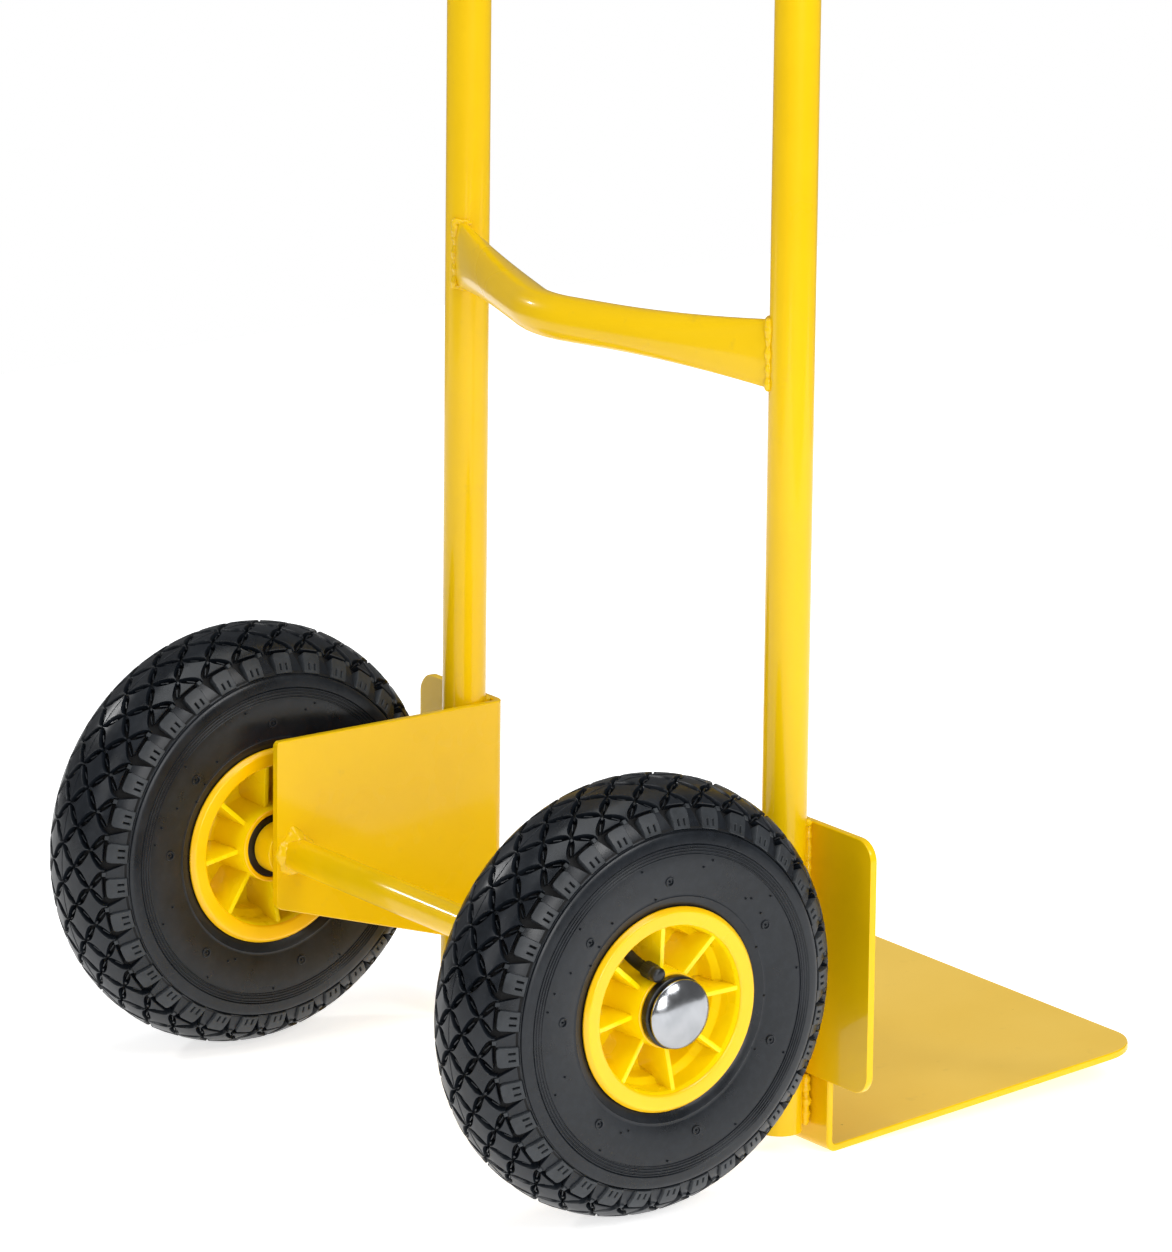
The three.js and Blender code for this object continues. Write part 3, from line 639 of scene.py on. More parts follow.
def bracket_mesh():
    """Side bracket: flat sheet cut to shape and bent through a right angle at the front."""
    bend_r = BEND_OUT - SHEET / 2
    bend_len = bend_r * math.pi / 2
    corner_x = PLATE_OUT_X - SHEET / 2 + bend_r
    corner_y = GUARD_FRONT_Y + SHEET / 2 + bend_r
    plate_run = BRACKET_REAR - corner_y
    guard_run = GUARD_OUT_X - corner_x
    flat_edge = plate_run - (BRACKET_REAR - GUARD_REAR_Y)
    outline = rounded([
        (0, BRACKET_REAR_BOTTOM, 5.0),
        (plate_run - flat_edge, GUARD_BOTTOM, 4.0),
        (plate_run + bend_len + guard_run, GUARD_BOTTOM, GUARD_CORNER_R),
        (plate_run + bend_len + guard_run, BRACKET_TOP, GUARD_CORNER_R),
        (0, BRACKET_TOP, 2.5),
    ], 8)

    def height_span(u):
        xs = []
        for i in range(len(outline)):
            (u0, z0), (u1, z1) = outline[i], outline[(i + 1) % len(outline)]
            if u0 != u1 and min(u0, u1) - 1e-9 <= u <= max(u0, u1) + 1e-9:
                xs.append(z0 + (z1 - z0) * (u - u0) / (u1 - u0))
        return min(xs), max(xs)

    def bent(u, depth, z):
        """A point of the flat sheet in its bent place. depth grows to the outboard rear."""
        if u <= plate_run:
            return (PLATE_OUT_X - SHEET / 2 + depth, BRACKET_REAR - u, z)
        if u >= plate_run + bend_len:
            return (corner_x + (u - plate_run - bend_len), GUARD_FRONT_Y + SHEET / 2 + depth, z)
        turn = (u - plate_run) / bend_r
        r = bend_r - depth
        return (corner_x - r * math.cos(turn), corner_y - r * math.sin(turn), z)

    total = plate_run + bend_len + guard_run
    first = 0.02
    last = total - first
    stops = {first, last}
    stops.update(float(u) for u in outline[:, 0] if first < u < last)
    stops.update(plate_run + bend_len * k / 10 for k in range(11))
    stops.update(np.linspace(12, plate_run - 8, 10))
    stops.update(np.linspace(plate_run + bend_len + 6, total - 14, 6))
    stations = sorted(stops)
    stations = [s for i, s in enumerate(stations) if i == 0 or s - stations[i - 1] > 0.01]
    edge = 0.6
    rings = []
    for u in stations:
        low, high = height_span(u)
        ring = []
        for z, way in ((high, 1), (low, -1)):
            for side, inset in ((-way, 1), (-way, 0), (way, 0), (way, 1)):
                depth = side * (SHEET / 2 - edge * (1 - inset))
                ring.append(bent(u, depth, z - way * edge * inset))
        rings.append(ring)
    return loft(rings)


def make_brackets():
    pair("side_bracket_sheet", bracket_mesh(), COAT, "powder_coat", ["side_bracket"], crease=30.0)


def axle_fillet():
    """A lumpy fillet of weld where the axle meets the bracket's inner face, drawn up to a peak."""
    around = np.linspace(0, 2 * math.pi, 72, endpoint=False)
    lumps = 0.9 * np.sin(5 * around + 0.6) + 0.6 * np.sin(9 * around + 2.1) + 0.4 * np.sin(14 * around)
    peak = np.exp(-(((around - math.pi / 2) / 0.3) ** 2))
    foot_r = AXLE_R + 3.4 + 0.7 * lumps + 3.6 * peak
    reach = 4.2 + 0.8 * np.sin(4 * around + 1.0) + 0.5 * lumps + 2.0 * peak
    rings = []
    for share in (-0.12, 0.0, 0.2, 0.45, 0.7, 0.9, 1.0):
        clipped = max(share, 0.0)
        bulge = math.sin(math.pi * clipped) * 0.45
        radius = foot_r + (AXLE_R - 0.3 - foot_r) * clipped + bulge
        along = PLATE_IN_X - reach * share - bulge
        y = AXLE_Y + radius * np.cos(around)
        z = AXLE_Z + radius * np.sin(around)
        rings.append(np.column_stack([along, y, z]))
    return loft(rings[::-1])


def upright(x, y, low, high, count):
    """Points up a vertical line."""
    return [(x, y, z) for z in np.linspace(low, high, count)]


def make_bracket_welds():
    """Beads between bracket, rail, axle and the toe plate's flange, as (name, path, radius, seed)."""
    weld_pair("weld_axle_inner", axle_fillet())
    plate = (GUARD_BOTTOM + 14, BRACKET_TOP - 3, 40)
    guard = (GUARD_BOTTOM + 3, BRACKET_TOP - 2, 40)
    foot = (RAIL_BOTTOM + 2, GUARD_BOTTOM - 1, 14)
    foot_y = (RAIL_Y - TUBE_R + FLANGE_REAR) / 2 + 1.0
    flange_side = (GUARD_BOTTOM + 3, FLANGE_TOP - 3, 16)
    flange_xs = np.linspace(PLATE_OUT_X + 1, TOE_HALF_WIDTH - 2, 16)
    top_angles = [180 + a for a in np.linspace(52, -52, 14)]
    beads = (
        ("rail_plate", upright(PLATE_OUT_X + 0.4, RAIL_Y + 5.4, *plate), 2.0, 41),
        ("rail_guard", upright(RAIL_X + 6.8, GUARD_REAR_Y + 0.8, *guard), 2.2, 43),
        ("rail_top", [rail_point(a, BRACKET_TOP - 0.6, 0.5) for a in top_angles], 2.1, 47),
        ("rail_foot_inner", upright(RAIL_X - 5.5, foot_y, *foot), 3.0, 53),
        ("rail_foot_outer", upright(RAIL_X + 5.5, foot_y, *foot), 3.0, 53),
        ("flange_top", [(x, FLANGE_REAR - 0.6, FLANGE_TOP + 0.4) for x in flange_xs], 2.3, 59),
        ("flange_side", upright(TOE_HALF_WIDTH + 0.4, FLANGE_REAR - 0.8, *flange_side), 2.2, 61),
    )
    for name, path, radius, seed in beads:
        weld_pair(f"weld_{name}", weld_bead(path, radius, seed))


def make_toe_plate():
    """Toe plate: a sheet with a vertical flange behind and a blade that rises slightly."""
    rise = rad(TOE_RISE)
    sweep = math.pi / 2 + rise
    bend_r = BEND_OUT - SHEET / 2
    centre_y = FLANGE_REAR - BEND_OUT
    flange_run = FLANGE_TOP - BEND_OUT
    bend_len = bend_r * sweep
    along = np.array([-math.cos(rise), math.sin(rise)])
    normal = np.array([math.sin(rise), math.cos(rise)])
    start = np.array([centre_y, BEND_OUT]) - normal * bend_r
    blade_run = (start[0] - SHEET / 2 * math.sin(rise) - TOE_FRONT) / math.cos(rise)
    total = flange_run + bend_len + blade_run
    edge = 0.7

    def half_width(u):
        left = total - u
        if left >= TOE_CORNER_R:
            return TOE_HALF_WIDTH
        reach = TOE_CORNER_R - left
        return TOE_HALF_WIDTH - TOE_CORNER_R + math.sqrt(max(0.0, TOE_CORNER_R**2 - reach**2))

    def at(u, depth):
        """(y, z) of a point of the sheet. depth grows to the front and top."""
        if u <= flange_run:
            return FLANGE_REAR - SHEET / 2 - depth, FLANGE_TOP - u
        if u >= flange_run + bend_len:
            place = start + along * (u - flange_run - bend_len) + normal * depth
            return place[0], place[1]
        turn = (u - flange_run) / bend_r
        r = bend_r - depth
        return centre_y + r * math.cos(turn), BEND_OUT - r * math.sin(turn)

    stations = [0.0, edge]
    stations += list(np.linspace(12, flange_run - 4, 6))
    stations += [flange_run + bend_len * k / 12 for k in range(13)]
    stations += list(np.linspace(flange_run + bend_len + 8, total - TOE_CORNER_R - 2, 16))
    stations += [total - TOE_CORNER_R * (1 - math.sin(rad(t))) for t in np.linspace(0, 87, 16)]
    stations += [total - 0.01]
    rings = []
    for u in stations:
        # On the flange's top edge the left side comes to a point in the middle of the sheet.
        trim = edge if u == 0.0 else 0.0
        w = half_width(u)
        ring = []
        for side, corners in (
            (1, ((-1, edge), (-1 + trim, 0), (1 - trim, 0), (1, edge))),
            (-1, ((1, edge), (1, 0), (-1, 0), (-1, edge))),
        ):
            for depth, inset in corners:
                d = depth * (SHEET / 2) - (math.copysign(edge, depth) if inset == 0 else 0)
                y, z = at(u, d)
                ring.append((side * (w - inset), y, z))
        rings.append(ring)
    points, faces = loft(rings)
    edge_face_width = 60.0
    # The wide faces on top of the blade take the paler, greyer coat with dark chips.
    top_faces = []
    for face in faces:
        centre = np.mean([points[i] for i in face], axis=0)
        on_blade = centre[1] < centre_y - 2
        above = centre[2] > 0.5 * SHEET + (centre_y - centre[1]) * math.tan(rise) + 1.0
        wide = np.ptp([points[i][0] for i in face]) > edge_face_width
        top_faces.append(1 if on_blade and above and wide else 0)
    piece(
        "toe_plate_sheet", (points, faces), COAT, "powder_coat",
        nodes=["toe_plate"], crease=30.0, extra=[COAT_TOE], marks=top_faces,
    )


def make_axle():
    end = WHEEL_X + AXLE_PAST_WHEEL
    half = [(end - 1, AXLE_R), (end, AXLE_R - 1), (end, 0)]
    axle = revolve([(-x, r) for x, r in reversed(half)] + half, 64)
    piece("axle_bar", moved(axle, (0, AXLE_Y, AXLE_Z)), COAT, "powder_coat", nodes=["axle"])
    inner = AXLE_R + FIT_GAP
    start = PLATE_OUT_X + FIT_GAP
    end = WHEEL_X - HUB_FACE + 0.4
    corners = [(start, inner, 0), (start, COLLAR_R, 0.8), (end, COLLAR_R, 1.2), (end, inner, 0.3)]
    collar = moved(revolve(rounded(corners, 4), 64), (0, AXLE_Y, AXLE_Z))
    pair("axle_collar_ring", collar, COAT, "powder_coat", ["axle_collar"])


# Wheels.


def crown_table():
    """Arc length from the equator, and the section's points and normals there."""
    height = TYRE_R - TYRE_WIDEST_R
    angles = np.linspace(math.pi / 2, 0, 1200)
    x = TYRE_HALF_WIDTH * np.cos(angles) ** (2 / TYRE_ROUNDNESS)
    r = TYRE_WIDEST_R + height * np.sin(angles) ** (2 / TYRE_ROUNDNESS)
    x[0] = 0.0
    arc = np.concatenate([[0], np.cumsum(np.hypot(np.diff(x), np.diff(r)))])
    nx = (x / TYRE_HALF_WIDTH) ** (TYRE_ROUNDNESS - 1) / TYRE_HALF_WIDTH
    nr = (np.maximum(r - TYRE_WIDEST_R, 0) / height) ** (TYRE_ROUNDNESS - 1) / height
    size = np.hypot(nx, nr)
    return arc, x, r, nx / size, nr / size


CROWN = crown_table()


def crown_point(s, lift):
    """(across, radius) at an arc length from the equator, lifted off the crown's surface."""
    arc, x, r, nx, nr = CROWN
    return (
        np.interp(s, arc, x) + lift * np.interp(s, arc, nx),
        np.interp(s, arc, r) + lift * np.interp(s, arc, nr),
    )


def on_tyre(s, a, h):
    """Tyre points from arc across the tread, arc round it and height above its surface."""
    s = np.asarray(s, float)
    sign = np.where(s < 0, -1.0, 1.0)
    across, radius = crown_point(np.abs(s), h)
    angle = np.asarray(a, float) / TYRE_R
    return np.stack([sign * across, radius * np.cos(angle), radius * np.sin(angle)], axis=-1)


def block(s_from, s_to, sides, top, spin=0.0, centre=(0.0, 0.0), rows=4, ease=0.4):
    """One raised tread block. sides(s) gives its edges round the tyre, in its own turned axes."""
    s_list = [s_from, s_from + ease]
    s_list += list(np.linspace(s_from, s_to, rows + 2)[1:-1])
    s_list += [s_to - ease, s_to]
    grid = []
    for i, s in enumerate(s_list):
        low, high = sides(s)
        gap = min(ease, (high - low) * 0.3)
        columns = [low, low + gap, (low + high) / 2, high - gap, high]
        for j, a in enumerate(columns):
            rim = i in (0, len(s_list) - 1) or j in (0, 4)
            grid.append((s, a, top - (ease if rim else 0.0)))
    count = len(s_list)
    faces = []
    for i in range(count - 1):
        for j in range(4):
            k = i * 5 + j
            faces.append((k, k + 1, k + 6, k + 5))
    loop = list(range(5))
    loop += [i * 5 + 4 for i in range(1, count)]
    loop += [(count - 1) * 5 + j for j in range(3, -1, -1)]
    loop += [i * 5 for i in range(count - 2, 0, -1)]
    middle = np.mean([grid[k][:2] for k in loop], axis=0)
    base = len(grid)
    for k in loop:
        s, a, _ = grid[k]
        out = np.array([s, a]) - middle
        out /= max(np.linalg.norm(out), 1e-6)
        grid.append((s + out[0] * BLOCK_SPLAY, a + out[1] * BLOCK_SPLAY, BLOCK_FOOT))
    for k in range(len(loop)):
        n = (k + 1) % len(loop)
        faces.append((loop[n], loop[k], base + k, base + n))
    faces.append(tuple(base + k for k in range(len(loop))))
    grid = np.array(grid)
    c = math.cos(rad(spin))
    w = math.sin(rad(spin))
    s = centre[0] + c * grid[:, 0] - w * grid[:, 1]
    a = centre[1] + w * grid[:, 0] + c * grid[:, 1]
    return on_tyre(s, a, grid[:, 2]), [tuple(reversed(f)) for f in faces]


def bar(half_s, half_a, top, **options):
    """A rectangular tread block about its centre."""
    return block(-half_s, half_s, lambda s: (-half_a, half_a), top, rows=1, **options)


def tread_pitch():
    """One repeat of the tread: diamonds, tie bars, shoulder lugs. Returns parts and lug marks."""
    pitch = 2 * math.pi * TYRE_R / TREAD_PITCHES
    half_s = DIAMOND_HALF
    half_a = pitch / 2
    hs = half_s - CORNER_GAP
    ha = half_a - CORNER_GAP
    parts = []
    lugs = []

    def add(shape, is_lug):
        parts.append(shape)
        lugs.append(is_lug)

    def diamond_sides(s):
        share = min(1.0, abs(s) / hs)
        w = max(0.4, ha * (1 - share) - SIDE_HOLLOW * math.sin(math.pi * share))
        return -w, w

    for row in range(-2, 3):
        shift = 0.0 if row % 2 == 0 else half_a
        add(block(-hs, hs, diamond_sides, 0.0, centre=(row * half_s, shift), rows=11), False)
    mould_line = 0.28
    add(bar(mould_line, ha - 0.8, mould_line, ease=0.14), False)
    for row in range(-3, 3):
        for side in (-1, 1):
            base = 0.0 if row % 2 == 0 else half_a
            centre = ((row + 0.5) * half_s, base + side * half_a / 2)
            add(bar(2.6, 0.36, -1.3, spin=-45.0 * side, centre=centre, ease=0.12), False)
    for row in range(-2, 3):
        shift = half_a if row % 2 == 0 else 0.0
        add(bar(1.1, 1.1, -2.6, centre=(row * half_s, shift), ease=0.3), False)
    for side in (-1, 1):

        def on_side(s_from, s_to, sides, top, is_lug, rows=3, ease=0.4):
            if side > 0:
                add(block(s_from, s_to, sides, top, rows=rows, ease=ease), is_lug)
            else:
                add(block(-s_to, -s_from, lambda s: sides(-s), top, rows=rows, ease=ease), is_lug)

        tip = 2 * half_s + 1.8

        def half_diamond(s):
            share = (s - tip) / (HALF_DIAMOND_END - tip)
            w = max(0.4, half_a / half_s * (s - tip) * 0.96 - 0.8 * math.sin(math.pi * share))
            return half_a - w, half_a + w

        on_side(tip, HALF_DIAMOND_END, half_diamond, 0.0, False, 5)
        lug = 0.275 * pitch
        finger = (2 * lug - 4 * LUG_SLOT) / 3

        def full(s):
            reach = max(0.0, LUG_CORNER_R - (s - LUG_START))
            w = lug - LUG_CORNER_R + math.sqrt(LUG_CORNER_R**2 - reach**2)
            return half_a - w, half_a + w

        on_side(LUG_START, SLOT_START, full, 0.45, True, 6)
        for k in (-1, 0, 1):
            at = half_a + k * (finger + 2 * LUG_SLOT)

            def one(s, at=at):
                return at - finger / 2, at + finger / 2

            on_side(FINGER_START, FINGER_END, one, 0.44, True, 4)
        on_side(SLOT_END, LUG_END, full, 0.42, True, 1, 0.3)

        def plain(s):
            share = (s - LUG_START) / (LUG_END - LUG_START)
            return half_a + 0.265 * pitch, half_a + (0.47 + 0.24 * share) * pitch

        def knob(s):
            return half_a + 0.33 * pitch, half_a + 0.45 * pitch

        on_side(LUG_START - 0.4, LUG_END - 0.1, plain, -1.4, False, 5)
        on_side(LUG_START - 2.4, LUG_START + 0.4, knob, -0.5, True, 1, 0.3)
    return parts, lugs


def tyre_profile():
    """Outer section from the equator to the bead, as (across, radius)."""
    points = []
    for s in np.concatenate([np.linspace(0, LUG_START, 16), np.linspace(LUG_START + 1, LUG_END, 12)]):
        fade = max(0.0, min(1.0, (s - LUG_START) / (LUG_END + 0.8 - LUG_START)))
        points.append(crown_point(s, -TREAD_DEPTH * (1 - fade**2)))
    shoulder = ((46.2, -0.1), (46.5, -0.9), (47.0, -0.9), (47.3, 0.2), (47.8, 0.45), (50, 0.45))
    points += [crown_point(s, lift) for s, lift in (*shoulder, (52.5, 0.45), (54.2, 0.4))]
    ridge_start = 54.8
    ridge_pitch = 1.75
    for k in range(4):
        for ds, lift in ((0.0, -0.25), (0.45, 0.3), (0.95, 0.3), (1.4, -0.25)):
            points.append(crown_point(ridge_start + k * ridge_pitch + ds, lift))
    points += [
        (38.15, 89.6), (38.2, 87.5), (38.05, 84.0), (37.75, 80.0), (37.3, 76.0), (36.7, 72.0),
        (36.05, 69.0), (35.7, 67.6), (36.0, 67.0), (35.7, 66.4), (35.2, 64.8), (34.6, 63.2),
        (33.9, 61.8), (32.8, 60.2), (31.4, 58.8), (30.9, 57.0), (30.6, BEAD_R + 0.6), (30.0, BEAD_R),
    ]
    return points


def make_tyres():
    """Tyres: a revolved casing, tread blocks, vent nubs and mould marks in one mesh."""
    half = tyre_profile()
    outer = half[:0:-1] + [(-x, r) for x, r in half]
    inside_r = TYRE_R - CASING_WALL
    inner = [(22.6, BEAD_R), (24.8, 62.0), (31.0, 75.0), (33.8, 92.0), (29.0, 110.0), (15.0, inside_r - 1.5)]
    inner = [(-x, r) for x, r in inner] + [(0, inside_r)] + inner[::-1]
    casing = revolve(outer + inner, TREAD_PITCHES * 6)
    parts = [casing]
    marks = []
    # Casing faces out at the groove floor take the darker groove rubber: painted shade between the tread
    # blocks.
    for face in casing[1]:
        x, y, z = np.mean([casing[0][i] for i in face], axis=0)
        marks.append(2 if math.hypot(y, z) > GROOVE_FLOOR_R else 0)
    blocks, lug_flags = tread_pitch()
    step = 360.0 / TREAD_PITCHES
    offset = TREAD_PHASE - step / 2
    for k in range(TREAD_PITCHES):
        for shape, is_lug in zip(blocks, lug_flags):
            parts.append(turned_about_x(shape, offset + k * step))
            # Lug faces take the lighter lug rubber, a painted sheen.
            marks += [1 if is_lug else 0] * len(shape[1])
    nub = revolve([(-0.6, 0), (-0.6, 0.75), (0.6, 0.65), (1.1, 0.4), (1.25, 0)], 10)
    ring_mark = revolve(rounded([(-0.5, 1.9, 0), (-0.5, 3.1, 0), (0.75, 3.0, 0.3), (0.75, 2.0, 0.3)], 2), 24)
    rng = random.Random(7)
    dots = [(nub, 89.6, TREAD_PHASE + (3 * k + 0.3) * step) for k in range(TREAD_PITCHES // 3)]
    dots += [(nub, rng.uniform(66, 88), rng.uniform(0, 360)) for _ in range(16)]
    dots += [(form, MARK_R, angle) for form in (ring_mark, nub) for angle in MARK_ANGLES]
    wall = [(r, x) for x, r in reversed(half) if r < 97]
    for side in (1, -1):
        for form, r, turn in dots:
            across = np.interp(r, *zip(*wall))
            shape = moved(form, (across, r, 0))
            shape = shape if side > 0 else mirrored(shape)
            parts.append(turned_about_x(shape, turn))
            marks += [0] * len(shape[1])
    wheel_pair(
        "tyre_cover", join(*parts), TYRE, "tyre_rubber", ["tyre"],
        crease=42.0, extra=[LUG_PAINTED_SHEEN, GROOVE_PAINTED_SHADE], marks=marks,
    )


def make_rims():
    """Rims: flanged barrel, web, hub and eight ribs on each side."""
    half = [
        (0, 48.3, 0), (15.0, 48.3, 3), (19.5, 53.3, 2), (31.1, 53.3, 0.8), (31.7, 58.6, 2.5),
        (34.4, FLANGE_R, 1.2), (RIM_FACE, 58.6, 1.8), (36.8, 50.4, 1.8), (33.0, 49.0, 1.0),
        (20.5, 48.4, 1.6), (16.5, 44.6, 1.6), (3.0, 43.8, 3.0), (3.0, HUB_R + 1.2, 3.0),
        (HUB_FACE, HUB_R, 0.9), (HUB_FACE, 19.8, 0.5), (19.0, 19.8, 0), (19.0, 17.0, 0), (0, 17.0, 0),
    ]
    rib = [(2.0, HUB_R - 1.0), (29.5, HUB_R - 1.0), (34.3, 50.2), (20.0, 50.4), (16.0, 45.5), (2.0, 45.0)]
    corners = half[:-1] + [(-x, r, f) for x, r, f in reversed(half[1:-1])]
    parts = [revolve(rounded(corners, 5), 144)]
    for side in (1, -1):
        for k in range(RIB_COUNT):
            shape = slab([(x * side, r) for x, r in rib], RIB_THICKNESS, 0.6)
            parts.append(turned_about_x(shape, RIB_PHASE + k * 360.0 / RIB_COUNT))
    shell = join(*parts)
    marks = []
    # Faces inside the rim take the lighter yellow: painted light in the rim's shaded hollow.
    for face in shell[1]:
        x, y, z = np.mean([shell[0][i] for i in face], axis=0)
        marks.append(1 if abs(x) < 34.5 and HUB_R + 0.2 < math.hypot(y, z) < 50.6 else 0)
    wheel_pair(
        "rim_shell", shell, RIM, "rim_plastic", ["rim"], crease=35.0, extra=[RIM_INSIDE_PAINTED_LIGHT], marks=marks,
    )


def make_axle_caps():
    outer = [
        (51.5, 0), (51.42, 3.0), (51.1, 7.0), (50.4, 11.0), (49.4, 14.3), (48.0, 17.3),
        (46.7, 19.4), (45.9, 20.35), (45.2, 20.7), (44.6, 20.55), (44.4, 20.1),
    ]
    inner = [
        (44.4, 19.4), (46.2, 18.6), (48.4, 14.2), (48.9, 11.8),
        (44.9, 11.8), (44.9, SEAL_BORE_R), (49.4, SEAL_BORE_R), (50.2, 0),
    ]
    shape = moved(revolve(outer + inner, 96), (WHEEL_X, AXLE_Y, AXLE_Z))
    pair("axle_cap_dome", shape, CHROME, "chrome", ["axle_cap"], crease=50.0)


def make_seals():
    bore = SEAL_BORE_R
    outboard = [
        (33.6, bore, 0), (33.6, 19.5, 0), (36.4, 19.5, 0), (37.2, 21.6, 0.7),
        (41.8, 21.6, 1.0), (42.6, 18.6, 0.8), (44.0, 17.6, 0.5), (44.0, bore, 0.4),
    ]
    inboard = [(-35.8, bore, 0.3), (-35.8, 19.4, 0.6), (-33.6, 19.4, 0), (-33.6, bore, 0)]
    for place, corners in (("outboard", outboard), ("inboard", inboard)):
        ring = revolve(rounded(corners, 4), 96)
        wheel_pair(f"hub_seal_ring_{place}", ring, BLACK_PLASTIC, "black_plastic", [f"hub_seal_{place}"])


def valve_path():
    """The stem's centre line: inward from the rim, then round to the outboard side."""
    path = [(VALVE_X, r, 0.0) for r in np.linspace(58.5, STEM_BEND_START_R + 0.6, 7)]
    for k in range(15):
        turn = rad(STEM_BEND) * k / 14
        x = VALVE_X + STEM_BEND_R * (1 - math.cos(turn))
        path.append((x, STEM_BEND_START_R - STEM_BEND_R * math.sin(turn), 0.0))
    end = path[-1]
    way = (math.sin(rad(STEM_BEND)), -math.cos(rad(STEM_BEND)), 0.0)
    return path, end, way


def make_valves():
    path, end, way = valve_path()
    radii = [STEM_R] * len(path)
    radii[0:2] = [STEM_R + 0.6, STEM_R + 0.3]
    for k, extra in enumerate(np.arange(0.8, 12.1, 0.35)):
        path.append(tuple(end[i] + way[i] * extra for i in range(3)))
        radii.append(STEM_R if extra < 1.3 else STEM_R - 0.3 - (0.3 if k % 2 else 0.0))
    stem = tube(path, radii, 24)
    collar_path = [(VALVE_X, r, 0.0) for r in (50.0, 48.8, 47.4, 46.6, 46.0)]
    collar = tube(collar_path, [5.2, 5.4, 5.0, 4.2, 3.6], 32)
    shape = turned_about_x(join(stem, collar), VALVE_ANGLE)
    wheel_pair("valve_stem_tube", shape, BLACK_RUBBER, "black_rubber", ["valve_stem"], crease=60.0)
    outline = [
        (0.0, 4.4), (0.4, 4.85), (1.0, 5.0), (7.3, 5.0), (7.9, 4.9), (8.4, 4.6),
        (9.0, 4.55), (11.4, 4.5), (12.2, 4.2), (12.9, 3.4), (13.35, 2.0), (13.5, 0.7),
    ]
    rings = []
    way = np.array(way)
    start = np.array(end) + way * 1.7
    up = np.array([0.0, 0.0, 1.0])
    side = np.cross(way, up)
    for along, radius in outline:
        ring = []
        for k in range(72):
            angle = 2 * math.pi * k / 72
            grooved = radius - (0.35 if 0.8 < along < 7.5 and k % 3 == 0 else 0.0)
            ring.append(start + way * along + (side * math.cos(angle) + up * math.sin(angle)) * grooved)
        rings.append(ring)
    cap = turned_about_x(loft(rings), VALVE_ANGLE)
    wheel_pair("valve_cap_shell", cap, BLACK_PLASTIC, "black_plastic", ["valve_cap"], crease=50.0)


# Grips.


def grip_place(shape):
    """Moves a grip from its own axis along x, guard towards +y, to the left handle."""
    points, faces = shape
    start = HANDLE_START + HANDLE_WAY * (HANDLE_LENGTH - GRIP_BORE_DEPTH + 1)
    outer_side = np.array([1.0, 0.0, 0.0])
    third = np.cross(HANDLE_WAY, outer_side)
    basis = np.stack([HANDLE_WAY, outer_side, third])
    return start + np.asarray(points, float) @ basis, faces


def make_grips():
    """Hand grips: a ribbed sleeve with finger swells, a collar, a closed end and a knuckle guard."""
    collar = (
        (0.0, 13.7), (0.0, 17.8), (0.6, 18.4), (2.0, 18.8),
        (4.4, 19.1), (5.6, 18.9), (7.0, 17.9), (9.0, 17.1),
    )
    end = (
        (115, 17.3), (119, 18.9), (121.5, 19.5), (124, 19.5),
        (126.5, 19.0), (128.4, 17.8), (129.5, 15.8), (130, 12.5), (130, 5),
    )
    stations = [(x, r, False) for x, r in collar]
    for x in np.linspace(10, 112, 120):
        swell = math.sin(math.pi * (x - 10) / 25.5) ** 2
        stations.append((x, GRIP_R - 0.7 + 1.4 * swell, 14 < x < 108))
    stations += [(x, r, False) for x, r in end]
    segments = 96
    rings = []
    for x, r, ribbed in stations:
        ring = []
        for k in range(segments):
            angle = 2 * math.pi * k / segments
            groove = 0.45 if ribbed and k % 4 in (0, 1) else 0.0
            ring.append((x, (r - groove) * math.cos(angle), (r - groove) * math.sin(angle)))
        rings.append(ring)
    sleeve = loft(rings)
    reach = KNUCKLE_REACH - KNUCKLE_STRIP / 2
    near = 1 + KNUCKLE_STRIP / 2
    far = GRIP_LENGTH - 3 - KNUCKLE_STRIP / 2
    corners = rounded([(near, 9, 0), (near, reach, 17), (far, reach, 17), (far, 9, 0)], 12)
    path = []
    for i in range(len(corners) - 1):
        for t in np.linspace(0, 1, 6 if np.linalg.norm(corners[i + 1] - corners[i]) > 8 else 2)[:-1]:
            path.append(corners[i] * (1 - t) + corners[i + 1] * t)
    path.append(corners[-1])
    path = np.array(path)
    ways = np.gradient(path, axis=0)
    ways /= np.linalg.norm(ways, axis=1)[:, None]
    signs = ((-1, -1), (1, -1), (1, 1), (-1, 1))
    section = rounded([(i * KNUCKLE_STRIP / 2, j * KNUCKLE_WIDTH / 2, 1.6) for i, j in signs], 3)
    rings = []
    for point, way in zip(path, ways):
        side = np.array([-way[1], way[0]])
        rings.append([(point[0] + side[0] * t, point[1] + side[1] * t, w) for t, w in section])
    guard = loft(rings)
    shape = grip_place(join(sleeve, guard))
    pair("hand_grip_sleeve", shape, BLACK_PLASTIC, "black_plastic", ["hand_grip"], crease=40.0)


# Inner CAD parts.


def finish_inner_parts():
    """The hidden inner parts keep their CAD shapes and take a finish."""
    finishes = {"inner_tube": BLACK_RUBBER}
    for place in ("outboard", "inboard"):
        finishes[f"bearing_race_{place}"] = STEEL
        finishes[f"bearing_rollers_{place}"] = STEEL
    for side in ("left", "right"):
        for node, material in finishes.items():
            node_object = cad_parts[f"{node}_{side}"]
            node_object.data.materials.clear()
            node_object.data.materials.append(material)


# Camera and light.


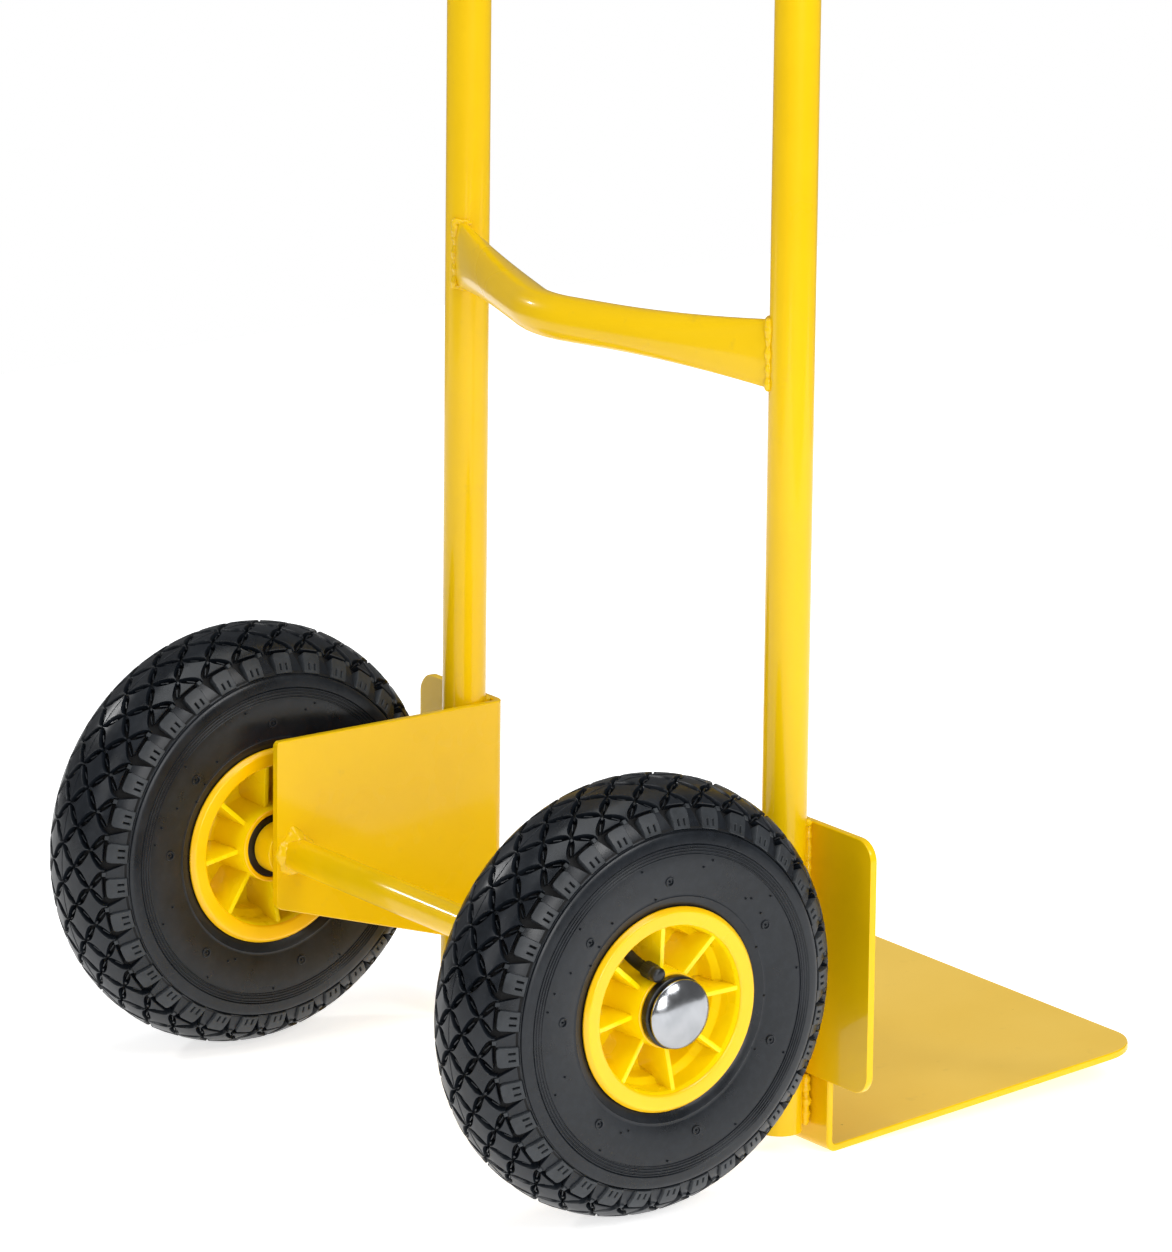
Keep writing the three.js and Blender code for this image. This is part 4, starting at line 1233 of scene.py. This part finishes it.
def make_camera():
    a = rad(CAMERA_AZIMUTH)
    e = rad(CAMERA_ELEVATION)
    roll = rad(CAMERA_ROLL)
    back = Vector((math.sin(a) * math.cos(e), -math.cos(a) * math.cos(e), math.sin(e)))
    level = Vector((math.cos(a), math.sin(a), 0.0))
    upright = Vector((-math.sin(a) * math.sin(e), math.cos(a) * math.sin(e), math.cos(e)))
    right = level * math.cos(roll) + upright * math.sin(roll)
    up = upright * math.cos(roll) - level * math.sin(roll)
    data = bpy.data.cameras.new("camera")
    data.lens = CAMERA_LENS
    data.sensor_width = CAMERA_SENSOR
    data.clip_start = 0.1
    data.clip_end = 100.0
    camera = bpy.data.objects.new("camera", data)
    place = (Vector(CAMERA_TARGET) + back * CAMERA_DISTANCE) * MM
    turn = Matrix((right, up, back)).transposed().to_4x4()
    camera.matrix_world = Matrix.Translation(place) @ turn
    bpy.context.scene.collection.objects.link(camera)
    bpy.context.scene.camera = camera
    return back, right, up


def area_light(name, place, size, power, colour):
    data = bpy.data.lights.new(name, "AREA")
    data.shape = "RECTANGLE"
    data.size, data.size_y = size
    data.energy = power
    data.color = colour
    light = bpy.data.objects.new(name, data)
    light.location = place
    light.rotation_mode = "QUATERNION"
    light.rotation_quaternion = (Vector(LIGHT_TARGET) - place).to_track_quat("-Z", "Y")
    bpy.context.scene.collection.objects.link(light)


def make_studio(back, right, up):
    half = FLOOR_HALF * MM
    mesh = bpy.data.meshes.new("studio_floor")
    corners = [(-half, -half, 0), (half, -half, 0), (half, half, 0), (-half, half, 0)]
    mesh.from_pydata(corners, [], [(0, 1, 2, 3)])
    floor = bpy.data.objects.new("studio_floor", mesh)
    bpy.context.scene.collection.objects.link(floor)
    looks = {"Specular IOR Level": 0.1, "Roughness": 0.9, "Emission Strength": FLOOR_GLOW}
    paper = Finish("studio_paper", {**looks, "Emission Color": (*WHITE, 1.0)})
    paper.tint(paper.noise(1.5, 2.0), (0.3, (0.86, 0.86, 0.86)), (0.7, (0.88, 0.88, 0.88)))
    mesh.materials.append(paper.material)
    world = bpy.data.worlds.new("studio")
    world.use_nodes = True
    nodes = world.node_tree.nodes
    links = world.node_tree.links
    lit = nodes["Background"]
    seen = nodes.new("ShaderNodeBackground")
    for node, strength in ((lit, AMBIENT), (seen, 1.0)):
        node.inputs["Color"].default_value = (*WHITE, 1.0)
        node.inputs["Strength"].default_value = strength
    mix = nodes.new("ShaderNodeMixShader")
    links.new(nodes.new("ShaderNodeLightPath").outputs["Is Camera Ray"], mix.inputs["Fac"])
    links.new(lit.outputs["Background"], mix.inputs[1])
    links.new(seen.outputs["Background"], mix.inputs[2])
    links.new(mix.outputs["Shader"], nodes["World Output"].inputs["Surface"])
    bpy.context.scene.world = world
    flat = Vector((back.x, back.y, 0)).normalized()
    across = Vector((right.x, right.y, 0)).normalized()
    lights = (
        ("key", flat * 2.2 + across * 2.4 + Vector((0, 0, 2.6)), (1.5, 1.5), 52.0, WHITE),
        ("fill", flat * 2.6 - across * 2.6 + Vector((0, 0, 1.6)), (0.9, 1.8), 16.0, WHITE),
        ("wheel_side", Vector((-3.0, 0.9, 0.95)), (1.2, 1.2), 30.0, WHITE),
        ("spot", Vector((2.56, 1.33, 1.92)), (0.26, 0.26), 20.0, WHITE),
        ("top", Vector((0, 0, 3.4)) + flat * 0.6, (2.6, 2.6), 60.0, COOL_WHITE),
    )
    for name, place, size, power, colour in lights:
        area_light(f"{name}_softbox", place, size, power, colour)
    bpy.context.scene.view_settings.view_transform = "Standard"


back, right, up = make_camera()
make_studio(back, right, up)
make_rails()
make_crossbars()
make_crossbar_welds()
make_brackets()
make_bracket_welds()
make_toe_plate()
make_axle()
make_tyres()
make_rims()
make_axle_caps()
make_seals()
make_valves()
make_grips()
finish_inner_parts()
